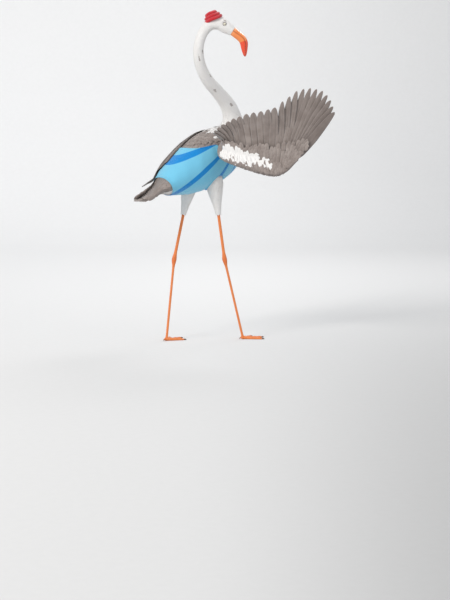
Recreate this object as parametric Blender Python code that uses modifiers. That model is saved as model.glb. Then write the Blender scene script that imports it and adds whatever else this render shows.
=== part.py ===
"""A greater flamingo on both feet, its right wing half raised, in a red cap and a striped bathing suit.

Metres, +Z up. The bird faces +X and its left is +Y. The origin lies on the floor under the middle of
the bird's box. Each part of the body is a solid of its own, and neighbours stay GAP apart.
"""

import math

import bmesh
import bpy
import numpy as np
from mathutils import Vector

GAP = 0.0003  # between solids that meet
SIDES = 22  # points round a section of the body

# The body from tail to face: the middle of each section, its yaw, half width, and how far it reaches
# above and below the middle. The sections stand square to the line through their middles.
AXIS = (
    # x, y, z, yaw, half width, above, below
    (-0.320, 0.000, 0.590, 0, 0.026, 0.0015, 0.0015),  # tail tip
    (-0.300, 0.000, 0.599, 0, 0.050, 0.0028, 0.0028),
    (-0.262, 0.000, 0.617, 0, 0.051, 0.0070, 0.0070),
    (-0.220, 0.000, 0.639, 0, 0.043, 0.0200, 0.0220),  # root of the tail
    (-0.175, 0.000, 0.660, 0, 0.065, 0.0440, 0.0520),
    (-0.115, 0.000, 0.690, 0, 0.087, 0.0720, 0.0830),
    (-0.045, 0.000, 0.722, 0, 0.101, 0.0930, 0.1030),
    (0.030, 0.000, 0.760, 0, 0.106, 0.1030, 0.1130),
    (0.095, 0.000, 0.797, 0, 0.097, 0.0970, 0.1100),
    (0.143, 0.000, 0.837, 0, 0.077, 0.0780, 0.0900),
    (0.168, 0.000, 0.879, 0, 0.054, 0.0570, 0.0610),  # foot of the neck
    (0.171, 0.000, 0.926, 0, 0.039, 0.0410, 0.0410),
    (0.147, 0.000, 0.980, 0, 0.031, 0.0320, 0.0320),
    (0.097, 0.000, 1.032, 0, 0.026, 0.0270, 0.0270),
    (0.042, 0.000, 1.082, 0, 0.0235, 0.0245, 0.0240),
    (0.004, -0.001, 1.142, -4, 0.0215, 0.0225, 0.0220),
    (-0.008, -0.003, 1.206, -10, 0.0200, 0.0210, 0.0205),
    (0.006, -0.007, 1.264, -20, 0.0195, 0.0205, 0.0200),
    (0.036, -0.017, 1.303, -30, 0.0220, 0.0235, 0.0210),  # nape
    (0.069, -0.036, 1.315, -37, 0.0250, 0.0280, 0.0270),  # crown, level with the ear
    (0.096, -0.056, 1.301, -38, 0.0228, 0.0240, 0.0285),  # brow
    (0.118, -0.073, 1.283, -38, 0.0165, 0.0165, 0.0215),  # root of the bill
)
TAIL_ROOT, NECK_FOOT, NECK_BEND, NECK_BACK, NAPE, BILL_ROOT = 3, 10, 12.5, 15.2, 17.8, 21
HEAD_YAW = -38

# Bill: the mouth line leaves the face square to it and turns to point straight down round the bend.
BILL_LENGTH = 0.128
TIP_PITCH = 92
BEND_START, BEND_END = 0.25, 0.68  # shares of the length
BILL_RINGS = 14
BILL_FULLNESS = 0.8  # 1 makes its sections half ellipses, and less makes them squarer

EYE_RADIUS = 0.0105
EYE_STATION = 19.70
EYE_OUT, EYE_UP = 0.0155, 0.0045  # its middle, from the middle of the head

# Right wing, half raised with the leading edge low: the joints of the arm, and its radius there
ARM = (
    (0.098, -0.062, 0.830, 0.0280),  # shoulder
    (-0.005, -0.185, 0.772, 0.0210),  # elbow
    (0.124, -0.340, 0.708, 0.0155),  # wrist
    (0.186, -0.413, 0.765, 0.0065),  # tip of the hand
)
TERTIALS, SECONDARIES, PRIMARIES = 4, 11, 11
FEATHER_THICKNESS, FEATHER_EDGE = 0.0024, 0.0008
FAN_ARCH, FAN_DROOP = 0.020, 0.030  # how far a fan arches off flat, and how far its tips fall back
COVERT_DEPTH, COVERT_REACH = 1.3, 0.45  # the coverts: thickness in arm radii, and share of a feather
# The fold of skin in front of the bent arm: the stretch of the arm that it joins, how far its free
# edge is drawn in towards the elbow, and its thickness at the arm and at that edge
FOLD_START, FOLD_END, FOLD_DRAWN_IN = 0.25, 1.85, 0.42
FOLD_INSET = 0.06  # share of that stretch left free at each end
FOLD_THICKNESS = (0.0100, 0.0030)

# Left wing, folded: where it lies along the trunk (a station) and from which angle to which, measured
# down from the middle of the back
FOLDED_WING = (
    # station, upper edge, lower edge, thickness
    (9.05, 66, 80, 0.006),
    (8.80, 50, 100, 0.012),
    (8.20, 36, 108, 0.014),
    (7.00, 27, 107, 0.012),
    (5.80, 22, 105, 0.009),
    (4.70, 20, 101, 0.007),
    (3.80, 19, 92, 0.006),
    (2.90, 22, 78, 0.005),
    (2.00, 30, 62, 0.004),
)
WING_CLEARANCE = (0.0016, 0.0034)  # under the folded wing: over bare feathers, and over the suit
WING_ROUND = (0.046, 0.034)  # the least half width and height that it lies round
WING_STEP = (0.014, 0.008)  # above the suit's edge: where the wing is clear of it, and the rise there
WING_RIM, WING_CROWN = 0.0012, 0.45  # thickness of its edges, and where across it is thickest

# Legs: hip, ankle and foot of each side, and the heading of the toes
HIP_HEIGHT, ANKLE_HEIGHT, FEATHER_END = 0.690, 0.340, 0.530
LEGS = {
    # hip x, ankle x, foot x, hip y, foot y, toe heading
    "left": (-0.010, -0.098, -0.136, 0.045, 0.055, 10),
    "right": (0.032, 0.070, 0.148, -0.049, -0.105, -10),
}
THIGH_RADII = (0.037, 0.037, 0.028, 0.018, 0.0110)
SHANK_RADIUS, ANKLE_RADIUS, TARSUS_RADIUS = 0.0062, 0.0098, 0.0050
FOOT_TOP = 0.021
TOES = {"inner": (34, 0.078), "middle": (0, 0.092), "outer": (-34, 0.082)}  # angle, length
TOE_RADII = (0.0078, 0.0052, 0.0046, 0.0036)
WEB_THICKNESS = 0.0018
WEB_LIFT, WEB_SHARE, WEB_HOLLOW = 0.0012, 0.93, 0.14  # above the floor, along a toe, and its edge
HIND_TOE, HIND_RADII, HIND_DROP = 0.014, (0.0045, 0.0026), 0.0015
SOLE_CUT = 0.0007  # taken off below, which leaves the sole flat
CLAW, CLAW_RADIUS, CLAW_POINT = 0.008, 0.0027, 0.0004
HIND_CLAW = 0.65  # its size beside the others

# Clothes
SUIT_THICKNESS = 0.0016
SUIT_EDGE = (Vector((-0.060, 0.0, 0.803)), Vector((0.135, 0.0, 0.990)).normalized())
SUIT_TAIL = (Vector((-0.188, 0.0, 0.650)), Vector((-0.883, 0.0, -0.469)))
CAP_MIDDLE = Vector((0.052, -0.027, 1.3305))
CAP_LEAN = 24  # backwards from upright
CAP_PROFILE = (  # radius and height, from the broad low crown down over two rolls
    (0.0000, 0.0345), (0.0115, 0.0342), (0.0200, 0.0318), (0.0245, 0.0265), (0.0240, 0.0213),
    (0.0285, 0.0195), (0.0312, 0.0148), (0.0310, 0.0108), (0.0297, 0.0088),
    (0.0335, 0.0074), (0.0358, 0.0035), (0.0356, -0.0010), (0.0335, -0.0044),
    (0.0297, -0.0062), (0.0000, -0.0062),
)
CAP_LONG, CAP_WIDE = 1.10, 0.94

COLOURS = {
    "white": ((0.87, 0.86, 0.84), 0.85), "grey_brown": ((0.26, 0.215, 0.19), 0.8),
    "orange": ((0.84, 0.25, 0.063), 0.5), "eye": ((0.86, 0.83, 0.72), 0.1),
    "claw": ((0.10, 0.07, 0.05), 0.4),
    "red": ((0.75, 0.065, 0.07), 0.9), "blue": ((0.21, 0.62, 0.85), 0.8),
}

for old in list(bpy.data.objects):
    bpy.data.objects.remove(old)
bird = bpy.data.collections.new("flamingo")
cutters = bpy.data.collections.new("cutters")
for collection in (bird, cutters):
    bpy.context.scene.collection.children.link(collection)
stand_point = bpy.data.objects.new("stand_point", None)
bird.objects.link(stand_point)


# Closed meshes, and the smooth curves that the tables stand for


def finish(made, colour):
    """Put an object into the bird, with a material of its own, and shade it smooth."""
    base, roughness = COLOURS[colour]
    material = bpy.data.materials.new(made.name)
    material.use_nodes = True
    shader = material.node_tree.nodes["Principled BSDF"]
    shader.inputs["Base Color"].default_value = (*base, 1)
    shader.inputs["Roughness"].default_value = roughness
    shader.inputs["Metallic"].default_value = 0
    made.data.materials.clear()
    made.data.materials.append(material)
    made.data.shade_smooth()
    made.data.set_sharp_from_angle(angle=math.radians(50))
    made.parent = stand_point
    bird.objects.link(made)
    return made


def guide(made):
    """Put a cutter where it isn't drawn."""
    made.hide_render = True
    made.display_type = "WIRE"
    made.parent = stand_point
    cutters.objects.link(made)
    return made


def from_bmesh(name, mesh):
    data = bpy.data.meshes.new(name)
    mesh.to_mesh(data)
    mesh.free()
    return bpy.data.objects.new(name, data)


def loft(name, rings):
    """A closed solid over rings of equally many points, with a flat end at each end ring."""
    mesh = bmesh.new()
    loops = [[mesh.verts.new(point) for point in ring] for ring in rings]
    count = len(loops[0])
    for near, far in zip(loops, loops[1:]):
        for i in range(count):
            mesh.faces.new((near[i], near[(i + 1) % count], far[(i + 1) % count], far[i]))
    mesh.faces.new(loops[0])
    mesh.faces.new(loops[-1])
    bmesh.ops.recalc_face_normals(mesh, faces=mesh.faces)
    return from_bmesh(name, mesh)


def tube(name, points, radii, sides=12):
    """A round tube along the points, as a mesh with closed ends."""
    curve = bpy.data.curves.new(name, "CURVE")
    curve.dimensions = "3D"
    curve.bevel_depth = 1
    curve.bevel_resolution = sides // 2 - 2
    curve.use_fill_caps = True
    spline = curve.splines.new("POLY")
    spline.points.add(len(points) - 1)
    for knot, point, radius in zip(spline.points, points, radii):
        knot.co = (*point, 1)
        knot.radius = radius
    return curve_mesh(name, curve)


def circle(middle, normal, radius, reference, sides):
    """Points round a middle, square to a normal, starting from the direction nearest a reference."""
    start = (reference - normal * normal.dot(reference)).normalized()
    other = start.cross(normal)
    turns = [2 * math.pi * k / sides for k in range(sides)]
    return [middle + (start * math.cos(a) + other * math.sin(a)) * radius for a in turns]


def curve_mesh(name, curve):
    """The mesh of a curve, with its caps welded on."""
    drawn = bpy.data.objects.new(name + "_curve", curve)
    cutters.objects.link(drawn)
    bpy.context.view_layer.update()
    data = bpy.data.meshes.new_from_object(drawn.evaluated_get(bpy.context.evaluated_depsgraph_get()))
    bpy.data.objects.remove(drawn)
    mesh = bmesh.new()
    mesh.from_mesh(data)
    bmesh.ops.remove_doubles(mesh, verts=mesh.verts, dist=0.00002)
    bmesh.ops.recalc_face_normals(mesh, faces=mesh.faces)
    return from_bmesh(name, mesh)


def boolean(target, tool, operation):
    step = target.modifiers.new(operation.lower(), "BOOLEAN")
    step.operation = operation
    step.solver = "EXACT"
    step.object = tool


def read(table, t):
    """A row of a table of numbers at a place between its rows, on a smooth curve through them."""
    rows = np.array(table, float)
    i = min(max(int(t), 0), len(rows) - 2)
    f = t - i
    before = rows[i - 1] if i > 0 else 2 * rows[0] - rows[1]
    after = rows[i + 2] if i + 2 < len(rows) else 2 * rows[-1] - rows[-2]
    a, b = rows[i], rows[i + 1]
    square = 2 * before - 5 * a + 4 * b - after
    cube = 3 * a - before - 3 * b + after
    return 0.5 * (2 * a + (b - before) * f + square * f**2 + cube * f**3)


# The body from tail to face


def body_frame(t):
    """Middle, forward, left and up at a station, with the half width and the reach up and down."""
    here = read(AXIS, t)
    forward = Vector((read(AXIS, t + 0.02) - read(AXIS, t - 0.02))[:3]).normalized()
    yaw = math.radians(here[3])
    left = Vector((-math.sin(yaw), math.cos(yaw), 0))
    left = (left - forward * left.dot(forward)).normalized()
    return Vector(here[:3]), forward, left, forward.cross(left), here[4:]


def around(t, angle, grow=0.0, least=(0, 0)):
    """The point of the body's surface at a station and an angle down from the back, grown outwards."""
    middle, _, left, up, (width, above, below) = body_frame(t)
    width, above, below = max(width, least[0]), max(above, least[1]), max(below, least[1])
    height = above if math.cos(angle) > 0 else below
    across = left * (math.sin(angle) * (width + grow))
    return middle + across + up * (math.cos(angle) * (height + grow))


def section(t, grow=0.0):
    return [around(t, 2 * math.pi * k / SIDES, grow) for k in range(SIDES)]


def length_of(name, start, end, rings, grow=0.0):
    """A length of the body between two stations, half a gap short at each end."""
    stations = np.linspace(start, end, rings)
    spacing = [(read(AXIS, t + 0.01) - read(AXIS, t - 0.01))[:3] for t in (start, end)]
    shift = [GAP / 2 / (np.linalg.norm(step) / 0.02) for step in spacing]
    stations[0] += shift[0]
    stations[-1] -= shift[1]
    return loft(name, [section(t, grow) for t in stations])


tail = finish(length_of("tail", 0, TAIL_ROOT, 7), "grey_brown")
trunk = finish(length_of("trunk", TAIL_ROOT, NECK_FOOT, 15), "white")
finish(length_of("neck_lower", NECK_FOOT, NECK_BEND, 6), "white")
finish(length_of("neck_middle", NECK_BEND, NECK_BACK, 7), "white")
finish(length_of("neck_upper", NECK_BACK, NAPE, 7), "white")
head = finish(length_of("head", NAPE, BILL_ROOT, 12), "white")
grown_trunk = guide(length_of("grown_trunk", TAIL_ROOT - 0.4, NECK_FOOT + 0.4, 17, GAP))
grown_head = guide(length_of("grown_head", NECK_BACK, BILL_ROOT, 28, 4 * GAP))


# Bill: a thin lid above the mouth line, and a deep trough below it


def bill_frames():
    """Middle of the mouth line, its up direction and its share of the length, ring by ring."""
    middle, forward, left, _, _ = body_frame(BILL_ROOT)
    middle = middle + forward * GAP
    heading = Vector((forward.x, forward.y, 0)).normalized()
    left = Vector((-heading.y, heading.x, 0))
    first_pitch = math.degrees(math.asin(-forward.z))
    frames = []
    for share in np.linspace(0, 1, BILL_RINGS):
        turn = min(max((share - BEND_START) / (BEND_END - BEND_START), 0), 1)
        turn = turn * turn * (3 - 2 * turn)
        pitch = math.radians(first_pitch + (TIP_PITCH - first_pitch) * turn)
        along = heading * math.cos(pitch) - Vector((0, 0, math.sin(pitch)))
        if frames:
            middle = middle + along * (BILL_LENGTH / (BILL_RINGS - 1))
        frames.append((middle, left, along.cross(left), share))
    return frames


BILL_SIZES = (  # half width and height of the lid, half width and depth of the trough
    (0.0145, 0.0150, 0.0150, 0.0190),
    (0.0136, 0.0122, 0.0152, 0.0205),
    (0.0128, 0.0102, 0.0150, 0.0224),
    (0.0122, 0.0096, 0.0144, 0.0228),
    (0.0108, 0.0090, 0.0122, 0.0192),
    (0.0080, 0.0072, 0.0088, 0.0130),
    (0.0028, 0.0030, 0.0028, 0.0036),
)


def mandible(name, side, colour):
    """One half of the bill: side is +1 for the lid above the mouth line and -1 for the trough."""
    rings = []
    for middle, left, up, share in bill_frames():
        sizes = read(BILL_SIZES, share * (len(BILL_SIZES) - 1))
        width, height = sizes[:2] if side > 0 else sizes[2:]
        ring = []
        for angle in np.linspace(0, math.pi, 9):
            rise = side * (GAP / 2 + height * math.sin(angle) ** BILL_FULLNESS)
            ring.append(middle + left * (width * math.cos(angle)) + up * rise)
        rings.append(ring)
    return finish(loft(name, rings), colour)


mandible("bill_upper", 1, "orange")
mandible("bill_lower", -1, "orange")


# Eyes, each a ball in a socket of the head


def ball(name, middle, radius):
    mesh = bmesh.new()
    bmesh.ops.create_uvsphere(mesh, u_segments=12, v_segments=8, radius=radius)
    made = from_bmesh(name, mesh)
    made.location = middle
    return made


for side, sign in (("left", 1), ("right", -1)):
    eye_root, _, eye_left, eye_up, _ = body_frame(EYE_STATION)
    eye_middle = eye_root + eye_left * (sign * EYE_OUT) + eye_up * EYE_UP
    finish(ball(f"eye_{side}", eye_middle, EYE_RADIUS), "eye")
    boolean(head, guide(ball(f"socket_{side}", eye_middle, EYE_RADIUS + GAP)), "DIFFERENCE")


# Right wing: the arm, and the two fans of flight feathers that stand up from it


def arm_point(t):
    """Middle and radius of the arm: 0 at the shoulder, 1 elbow, 2 wrist, 3 tip of the hand."""
    x, y, z, radius = read(ARM, t)
    return Vector((x, y, z)), radius


def arm_length(name, start, end, grow=0.0):
    """A length of the arm, half a gap short at each end, with a section every sixth of a bone."""
    places = np.linspace(start, end, round((end - start) * 6) + 1)
    rings = []
    for t in places:
        middle, radius = arm_point(t)
        normal = (arm_point(t + 0.02)[0] - arm_point(t - 0.02)[0]).normalized()
        inwards = 1 if t == start else -1 if t == end else 0
        middle = middle + normal * (inwards * GAP / 2)
        rings.append(circle(middle, normal, radius + grow, Vector((0, 0, 1)), 12))
    return loft(name, rings)


upper_arm = finish(arm_length("wing_right_upper_arm", 0, 1), "grey_brown")
boolean(upper_arm, grown_trunk, "DIFFERENCE")
finish(arm_length("wing_right_forearm", 1, 2), "grey_brown")
finish(arm_length("wing_right_hand", 2, 3), "grey_brown")
grown_arm = guide(arm_length("grown_arm", 0, 3, GAP))


def wing_fold():
    """The feathered fold of skin between the shoulder and the wrist, which closes the bend of the arm."""
    first, last = arm_point(FOLD_START)[0], arm_point(FOLD_END)[0]
    elbow = arm_point(1)[0]
    rings = []
    for share in np.linspace(FOLD_INSET, 1 - FOLD_INSET, 13):
        root = arm_point(FOLD_START + (FOLD_END - FOLD_START) * share)[0]
        edge = first.lerp(last, share).lerp(elbow, FOLD_DRAWN_IN * 4 * share * (1 - share))
        face = (last - first).cross(elbow - first).normalized()
        ring = []
        for reach in np.linspace(0, 1, 4):
            half = (FOLD_THICKNESS[0] + (FOLD_THICKNESS[1] - FOLD_THICKNESS[0]) * reach) / 2
            ring.append((root.lerp(edge, reach), face * half))
        rings.append([p + f for p, f in ring] + [p - f for p, f in reversed(ring)])
    made = finish(loft("wing_right_fold", rings), "grey_brown")
    boolean(made, grown_arm, "DIFFERENCE")
    boolean(made, grown_trunk, "DIFFERENCE")


wing_fold()


def fan(name, start, end, count, directions, lengths, notch):
    """Flight feathers side by side along the arm from one place to another, notched between their tips.

    directions and lengths are read from the first feather to the last.
    """
    rings = []
    steps = 3 * count
    for step in range(steps + 1):
        share = step / steps
        t = start + (end - start) * share
        root, radius = arm_point(t)
        along = Vector(read(directions, share * (len(directions) - 1))).normalized()
        length = read([(size,) for size in lengths], share * (len(lengths) - 1))[0]
        hollow = abs(math.cos(math.pi * step / 3)) ** 3  # 1 between two feathers, 0 at a tip
        length *= 1 - notch * hollow
        face = along.cross(arm_point(t + 0.1)[0] - arm_point(t - 0.1)[0]).normalized()
        ring = []
        for reach in np.linspace(0, 1, 5):
            place = root + along * (length * reach)
            place = place + face * (FAN_ARCH * math.sin(math.pi * reach) - FAN_DROOP * reach**2)
            thick = max(FEATHER_THICKNESS, COVERT_DEPTH * radius * (1 - reach / COVERT_REACH))
            ring.append((place, face * ((thick if reach < 1 else FEATHER_EDGE) / 2)))
        rings.append([p + f for p, f in ring] + [p - f for p, f in reversed(ring)])
    made = finish(loft(name, rings), "grey_brown")
    boolean(made, grown_arm, "DIFFERENCE")
    return made


ELBOW_FEATHER, WRIST_FEATHER = (-0.36, -0.06, 0.93), (-0.02, -0.12, 0.99)
fan("wing_right_tertials", 0.66, 0.992, TERTIALS,
    ((-0.26, -0.20, 0.94), ELBOW_FEATHER), (0.080, 0.115), 0.10)
fan("wing_right_secondaries", 1.008, 1.99, SECONDARIES,
    (ELBOW_FEATHER, (-0.22, -0.02, 0.97), WRIST_FEATHER), (0.120, 0.215, 0.275), 0.10)
fan("wing_right_primaries", 2.02, 2.97, PRIMARIES,
    (WRIST_FEATHER, (0.12, -0.23, 0.97), (0.26, -0.37, 0.89), (0.41, -0.51, 0.76)),
    (0.285, 0.345, 0.320, 0.235), 0.30)


# Left wing: a plate round the side of the trunk, thick at the arm and thin at the feather tips


def over_suit(point):
    """1 where a point lies beside the suit and 0 above its edge."""
    height = (point - SUIT_EDGE[0]).dot(SUIT_EDGE[1])
    clear, rise = WING_STEP
    return min(max((clear - height) / rise, 0), 1)


def folded_section(t):
    """The plate's section at a place along the list of the folded wing: out along it and back inside."""
    station, top, bottom, thickness = read(FOLDED_WING, t)
    outer, inner = [], []
    for share in np.linspace(0, 1, 10):
        angle = math.radians(top + (bottom - top) * share)
        bare, dressed = WING_CLEARANCE
        clear = bare + (dressed - bare) * over_suit(around(station, angle, 0, WING_ROUND))
        crown = WING_RIM + thickness * (1 - (abs(share - WING_CROWN) / (1 - WING_CROWN)) ** 3)
        inner.append(around(station, angle, clear, WING_ROUND))
        outer.append(around(station, angle, clear + crown, WING_ROUND))
    return outer + inner[::-1]


def folded_length(name, start, end, rings):
    places = np.linspace(start, end, rings)
    places[0] += 0.003 if start > 0 else 0
    return finish(loft(name, [folded_section(t) for t in places]), "grey_brown")


folded_length("wing_left_arm", 0, 3, 8)
folded_length("wing_left_secondaries", 3, 5.5, 7)
folded_length("wing_left_primaries", 5.5, 8, 7)


# Legs, feet and claws


def leg_points(side):
    """Hip, end of the feathers, ankle and the top of the foot of one leg."""
    hip_x, ankle_x, foot_x, hip_y, foot_y, _ = LEGS[side]
    hip = Vector((hip_x, hip_y, HIP_HEIGHT))
    down = (HIP_HEIGHT - ANKLE_HEIGHT) / HIP_HEIGHT
    ankle = Vector((ankle_x, hip_y + (foot_y - hip_y) * down, ANKLE_HEIGHT))
    foot = Vector((foot_x, foot_y, 0))
    feather_end = hip.lerp(ankle, (HIP_HEIGHT - FEATHER_END) / (HIP_HEIGHT - ANKLE_HEIGHT))
    top = ankle.lerp(foot, (ANKLE_HEIGHT - FOOT_TOP) / ANKLE_HEIGHT)
    return hip, feather_end, ankle, top


def stretch(name, start, end, radii, squares=None, sides=12):
    """A straight length of leg from one point to another, half a gap short at each end.

    squares are the directions that its two ends stand square to.
    """
    along = (end - start).normalized()
    first, last = squares or (along, along)
    shares = np.linspace(0, 1, len(radii))
    normals = [first] + [along] * (len(radii) - 2) + [last]
    start, end = start + first * (GAP / 2), end - last * (GAP / 2)
    rings = []
    for share, radius, normal in zip(shares, radii, normals):
        rings.append(circle(start.lerp(end, share), normal, radius, Vector((0, 1, 0)), sides))
    return loft(name, rings)


def toe(name, root, heading, length):
    """A toe along the floor, a little sunk so that the floor cut gives it a flat sole."""
    points = []
    for share, radius in zip(np.linspace(0, 1, len(TOE_RADII)), TOE_RADII):
        points.append(root + heading * (length * share) + Vector((0, 0, radius - SOLE_CUT)))
    return guide(tube(name, points, TOE_RADII, 8))


def turned(angle):
    return Vector((math.cos(angle), math.sin(angle), 0))


def web(name, root, facing, spread):
    """The skin between the toes: a flat sheet with hollow edges from claw to claw."""
    outline = [root]
    ends = [root + turned(facing + spread * math.radians(a)) * (size * WEB_SHARE)
            for a, size in TOES.values()]
    for first, second in zip(ends, ends[1:]):
        dip = ((first + second) / 2).lerp(root, WEB_HOLLOW)
        outline += [first.lerp(second, s) * (1 - 4 * s * (1 - s)) + dip * (4 * s * (1 - s))
                    for s in np.linspace(0, 1, 5)]
    curve = bpy.data.curves.new(name, "CURVE")
    curve.dimensions = "2D"
    curve.fill_mode = "BOTH"
    curve.extrude = WEB_THICKNESS / 2
    spline = curve.splines.new("POLY")
    spline.points.add(len(outline) - 1)
    for knot, point in zip(spline.points, outline):
        knot.co = (point.x, point.y, 0, 1)
    spline.use_cyclic_u = True
    made = curve_mesh(name, curve)
    made.location.z = WEB_LIFT + WEB_THICKNESS / 2
    return guide(made)


floor_cut = bmesh.new()
bmesh.ops.create_cube(floor_cut, size=1.0)
below_floor = guide(from_bmesh("below_floor", floor_cut))
below_floor.location.z = -0.5

for side, (_, _, foot_x, _, foot_y, toe_heading) in LEGS.items():
    hip, feather_end, ankle, top = leg_points(side)
    thigh = finish(stretch(f"thigh_{side}", hip, feather_end, THIGH_RADII, sides=16), "white")
    boolean(thigh, grown_trunk, "DIFFERENCE")
    knob = (ANKLE_RADIUS - SHANK_RADIUS) / 2 + SHANK_RADIUS
    above, below = (ankle - hip).normalized(), (top - ankle).normalized()
    bend = (above + below).normalized()
    shank_radii = [SHANK_RADIUS * 1.15] + [SHANK_RADIUS] * 4 + [knob, ANKLE_RADIUS]
    tarsus_radii = [ANKLE_RADIUS, knob] + [TARSUS_RADIUS] * 6 + [TARSUS_RADIUS * 1.2]
    finish(stretch(f"shank_{side}", feather_end, ankle, shank_radii, (above, bend)), "orange")
    finish(stretch(f"tarsus_{side}", ankle, top, tarsus_radii, (bend, below)), "orange")

    root = Vector((foot_x, foot_y, 0))
    facing = math.radians(toe_heading)
    spread = 1 if side == "right" else -1
    lean = (top - ankle).normalized()
    hub = root + Vector((0, 0, TOE_RADII[0] - SOLE_CUT))
    stub = [top + lean * (FOOT_TOP * share) for share in (1.1, 0.65)] + [top + lean * (GAP / 2)]
    foot = tube(f"foot_{side}", stub, (TOE_RADII[0], TOE_RADII[0] * 1.1, TARSUS_RADIUS * 1.2), 12)
    finish(foot, "orange")
    for toe_name, (angle, size) in TOES.items():
        heading = turned(facing + spread * math.radians(angle))
        boolean(foot, toe(f"toe_{side}_{toe_name}", root, heading, size), "UNION")
    boolean(foot, web(f"web_{side}", root, facing, spread), "UNION")
    back = turned(facing + math.pi)
    hind_tip = hub + back * HIND_TOE - Vector((0, 0, HIND_DROP))
    hind = tube(f"hind_{side}", [hub + Vector((0, 0, 2 * HIND_DROP)), hind_tip], HIND_RADII, 8)
    boolean(foot, guide(hind), "UNION")
    boolean(foot, below_floor, "DIFFERENCE")

    toe_end = Vector((0, 0, TOE_RADII[-1] - SOLE_CUT))
    claws = {}
    for toe_name, (angle, size) in TOES.items():
        heading = turned(facing + spread * math.radians(angle))
        claws[toe_name] = (root + heading * size + toe_end, heading, 1)
    claws["hind"] = (hind_tip, (back * HIND_TOE - Vector((0, 0, 3 * HIND_DROP))).normalized(), HIND_CLAW)
    for claw_name, (claw_root, heading, size) in claws.items():
        mesh = bmesh.new()
        bmesh.ops.create_cone(mesh, cap_ends=True, segments=8, radius1=CLAW_RADIUS * size,
                              radius2=CLAW_POINT, depth=CLAW * size)
        claw = from_bmesh(f"claw_{side}_{claw_name}", mesh)
        claw.rotation_euler = heading.to_track_quat("Z", "Y").to_euler()
        claw.location = claw_root + heading * (CLAW * size / 2 + GAP)
        finish(claw, "claw")


# Bathing suit: a sleeve round the trunk, with holes for the tail and the legs, low over the back

sleeve = bmesh.new()
sleeve.from_mesh(trunk.data)
bmesh.ops.delete(sleeve, geom=[face for face in sleeve.faces if len(face.verts) > 4], context="FACES")
for place, normal in (SUIT_EDGE, SUIT_TAIL):
    everything = [*sleeve.verts, *sleeve.edges, *sleeve.faces]
    bmesh.ops.bisect_plane(sleeve, geom=everything, plane_co=place, plane_no=normal, clear_outer=True)
sleeve.normal_update()
for vertex in sleeve.verts:
    vertex.co += vertex.normal * GAP
suit = finish(from_bmesh("bathing_suit", sleeve), "blue")
cloth = suit.modifiers.new("cloth", "SOLIDIFY")
cloth.thickness = SUIT_THICKNESS
cloth.offset = 1
cloth.use_even_offset = True
for side in LEGS:
    hip, feather_end, _, _ = leg_points(side)
    hole_radii = [radius + 2 * GAP for radius in THIGH_RADII]
    leg_hole = stretch(f"leg_hole_{side}", hip, feather_end, hole_radii, sides=16)
    boolean(suit, guide(leg_hole), "DIFFERENCE")
boolean(suit, grown_arm, "DIFFERENCE")


# Cap: a turned shape of a broad crown over two soft rolls, hollowed by the head

curve_points = [(radius, 0, height) for radius, height in CAP_PROFILE]
cap_data = bpy.data.meshes.new("cap")
cap_data.from_pydata(curve_points, [(i, i + 1) for i in range(len(curve_points) - 1)], [])
cap = bpy.data.objects.new("cap", cap_data)
turning = cap.modifiers.new("turning", "SCREW")
turning.steps = turning.render_steps = 16
turning.use_merge_vertices = True
turning.merge_threshold = 0.00005
turning.use_normal_calculate = True
finish(cap, "red")
boolean(cap, grown_head, "DIFFERENCE")
cap.location = CAP_MIDDLE
cap.rotation_euler = (0, math.radians(-CAP_LEAN), math.radians(HEAD_YAW))
cap.scale = (CAP_LONG, CAP_WIDE, 1)


# Stand the bird with the middle of its box over the origin

bpy.context.view_layer.update()
graph = bpy.context.evaluated_depsgraph_get()
corners = [made.matrix_world @ vertex.co
           for made in bird.objects if made.type == "MESH"
           for vertex in made.evaluated_get(graph).data.vertices]
lowest = Vector([min(corner[i] for corner in corners) for i in range(3)])
highest = Vector([max(corner[i] for corner in corners) for i in range(3)])
stand_point.location = (-(lowest.x + highest.x) / 2, -(lowest.y + highest.y) / 2, 0)
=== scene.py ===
import math

import bmesh
import bpy
import numpy as np
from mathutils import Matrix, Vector
from mathutils.bvhtree import BVHTree


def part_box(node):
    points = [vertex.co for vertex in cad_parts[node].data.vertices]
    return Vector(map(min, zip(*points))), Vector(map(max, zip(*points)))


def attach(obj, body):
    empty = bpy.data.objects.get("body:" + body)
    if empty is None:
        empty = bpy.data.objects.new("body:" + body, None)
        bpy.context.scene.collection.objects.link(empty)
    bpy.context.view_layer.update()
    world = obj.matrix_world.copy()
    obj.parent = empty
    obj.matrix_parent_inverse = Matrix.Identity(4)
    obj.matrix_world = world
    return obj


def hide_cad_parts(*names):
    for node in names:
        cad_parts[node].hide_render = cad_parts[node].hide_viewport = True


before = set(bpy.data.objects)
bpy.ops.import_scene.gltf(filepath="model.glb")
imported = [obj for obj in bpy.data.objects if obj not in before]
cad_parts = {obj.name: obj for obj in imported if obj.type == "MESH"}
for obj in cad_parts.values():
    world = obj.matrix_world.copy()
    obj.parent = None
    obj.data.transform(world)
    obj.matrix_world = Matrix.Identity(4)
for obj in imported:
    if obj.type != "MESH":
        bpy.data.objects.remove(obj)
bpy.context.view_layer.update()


# Studio: a pale paper sweep under and behind the bird, lit by a big soft lamp in front on the left, a
# weaker one on the right and one behind. The camera looks at the bird from behind its right shoulder.

VIEW_AZIMUTH, CAMERA_DISTANCE, CAMERA_HEIGHT = math.radians(-38), 6.2, 0.95
PICTURE_HEIGHT, PICTURE_MIDDLE = 2.448, 0.190  # metres up the picture at the bird, and its middle
LAMP_AIM = 0.75  # height on the bird that every lamp is turned to
towards_camera = Vector((math.sin(VIEW_AZIMUTH), -math.cos(VIEW_AZIMUTH), 0))
camera_right = Vector((math.cos(VIEW_AZIMUTH), math.sin(VIEW_AZIMUTH), 0))

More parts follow.
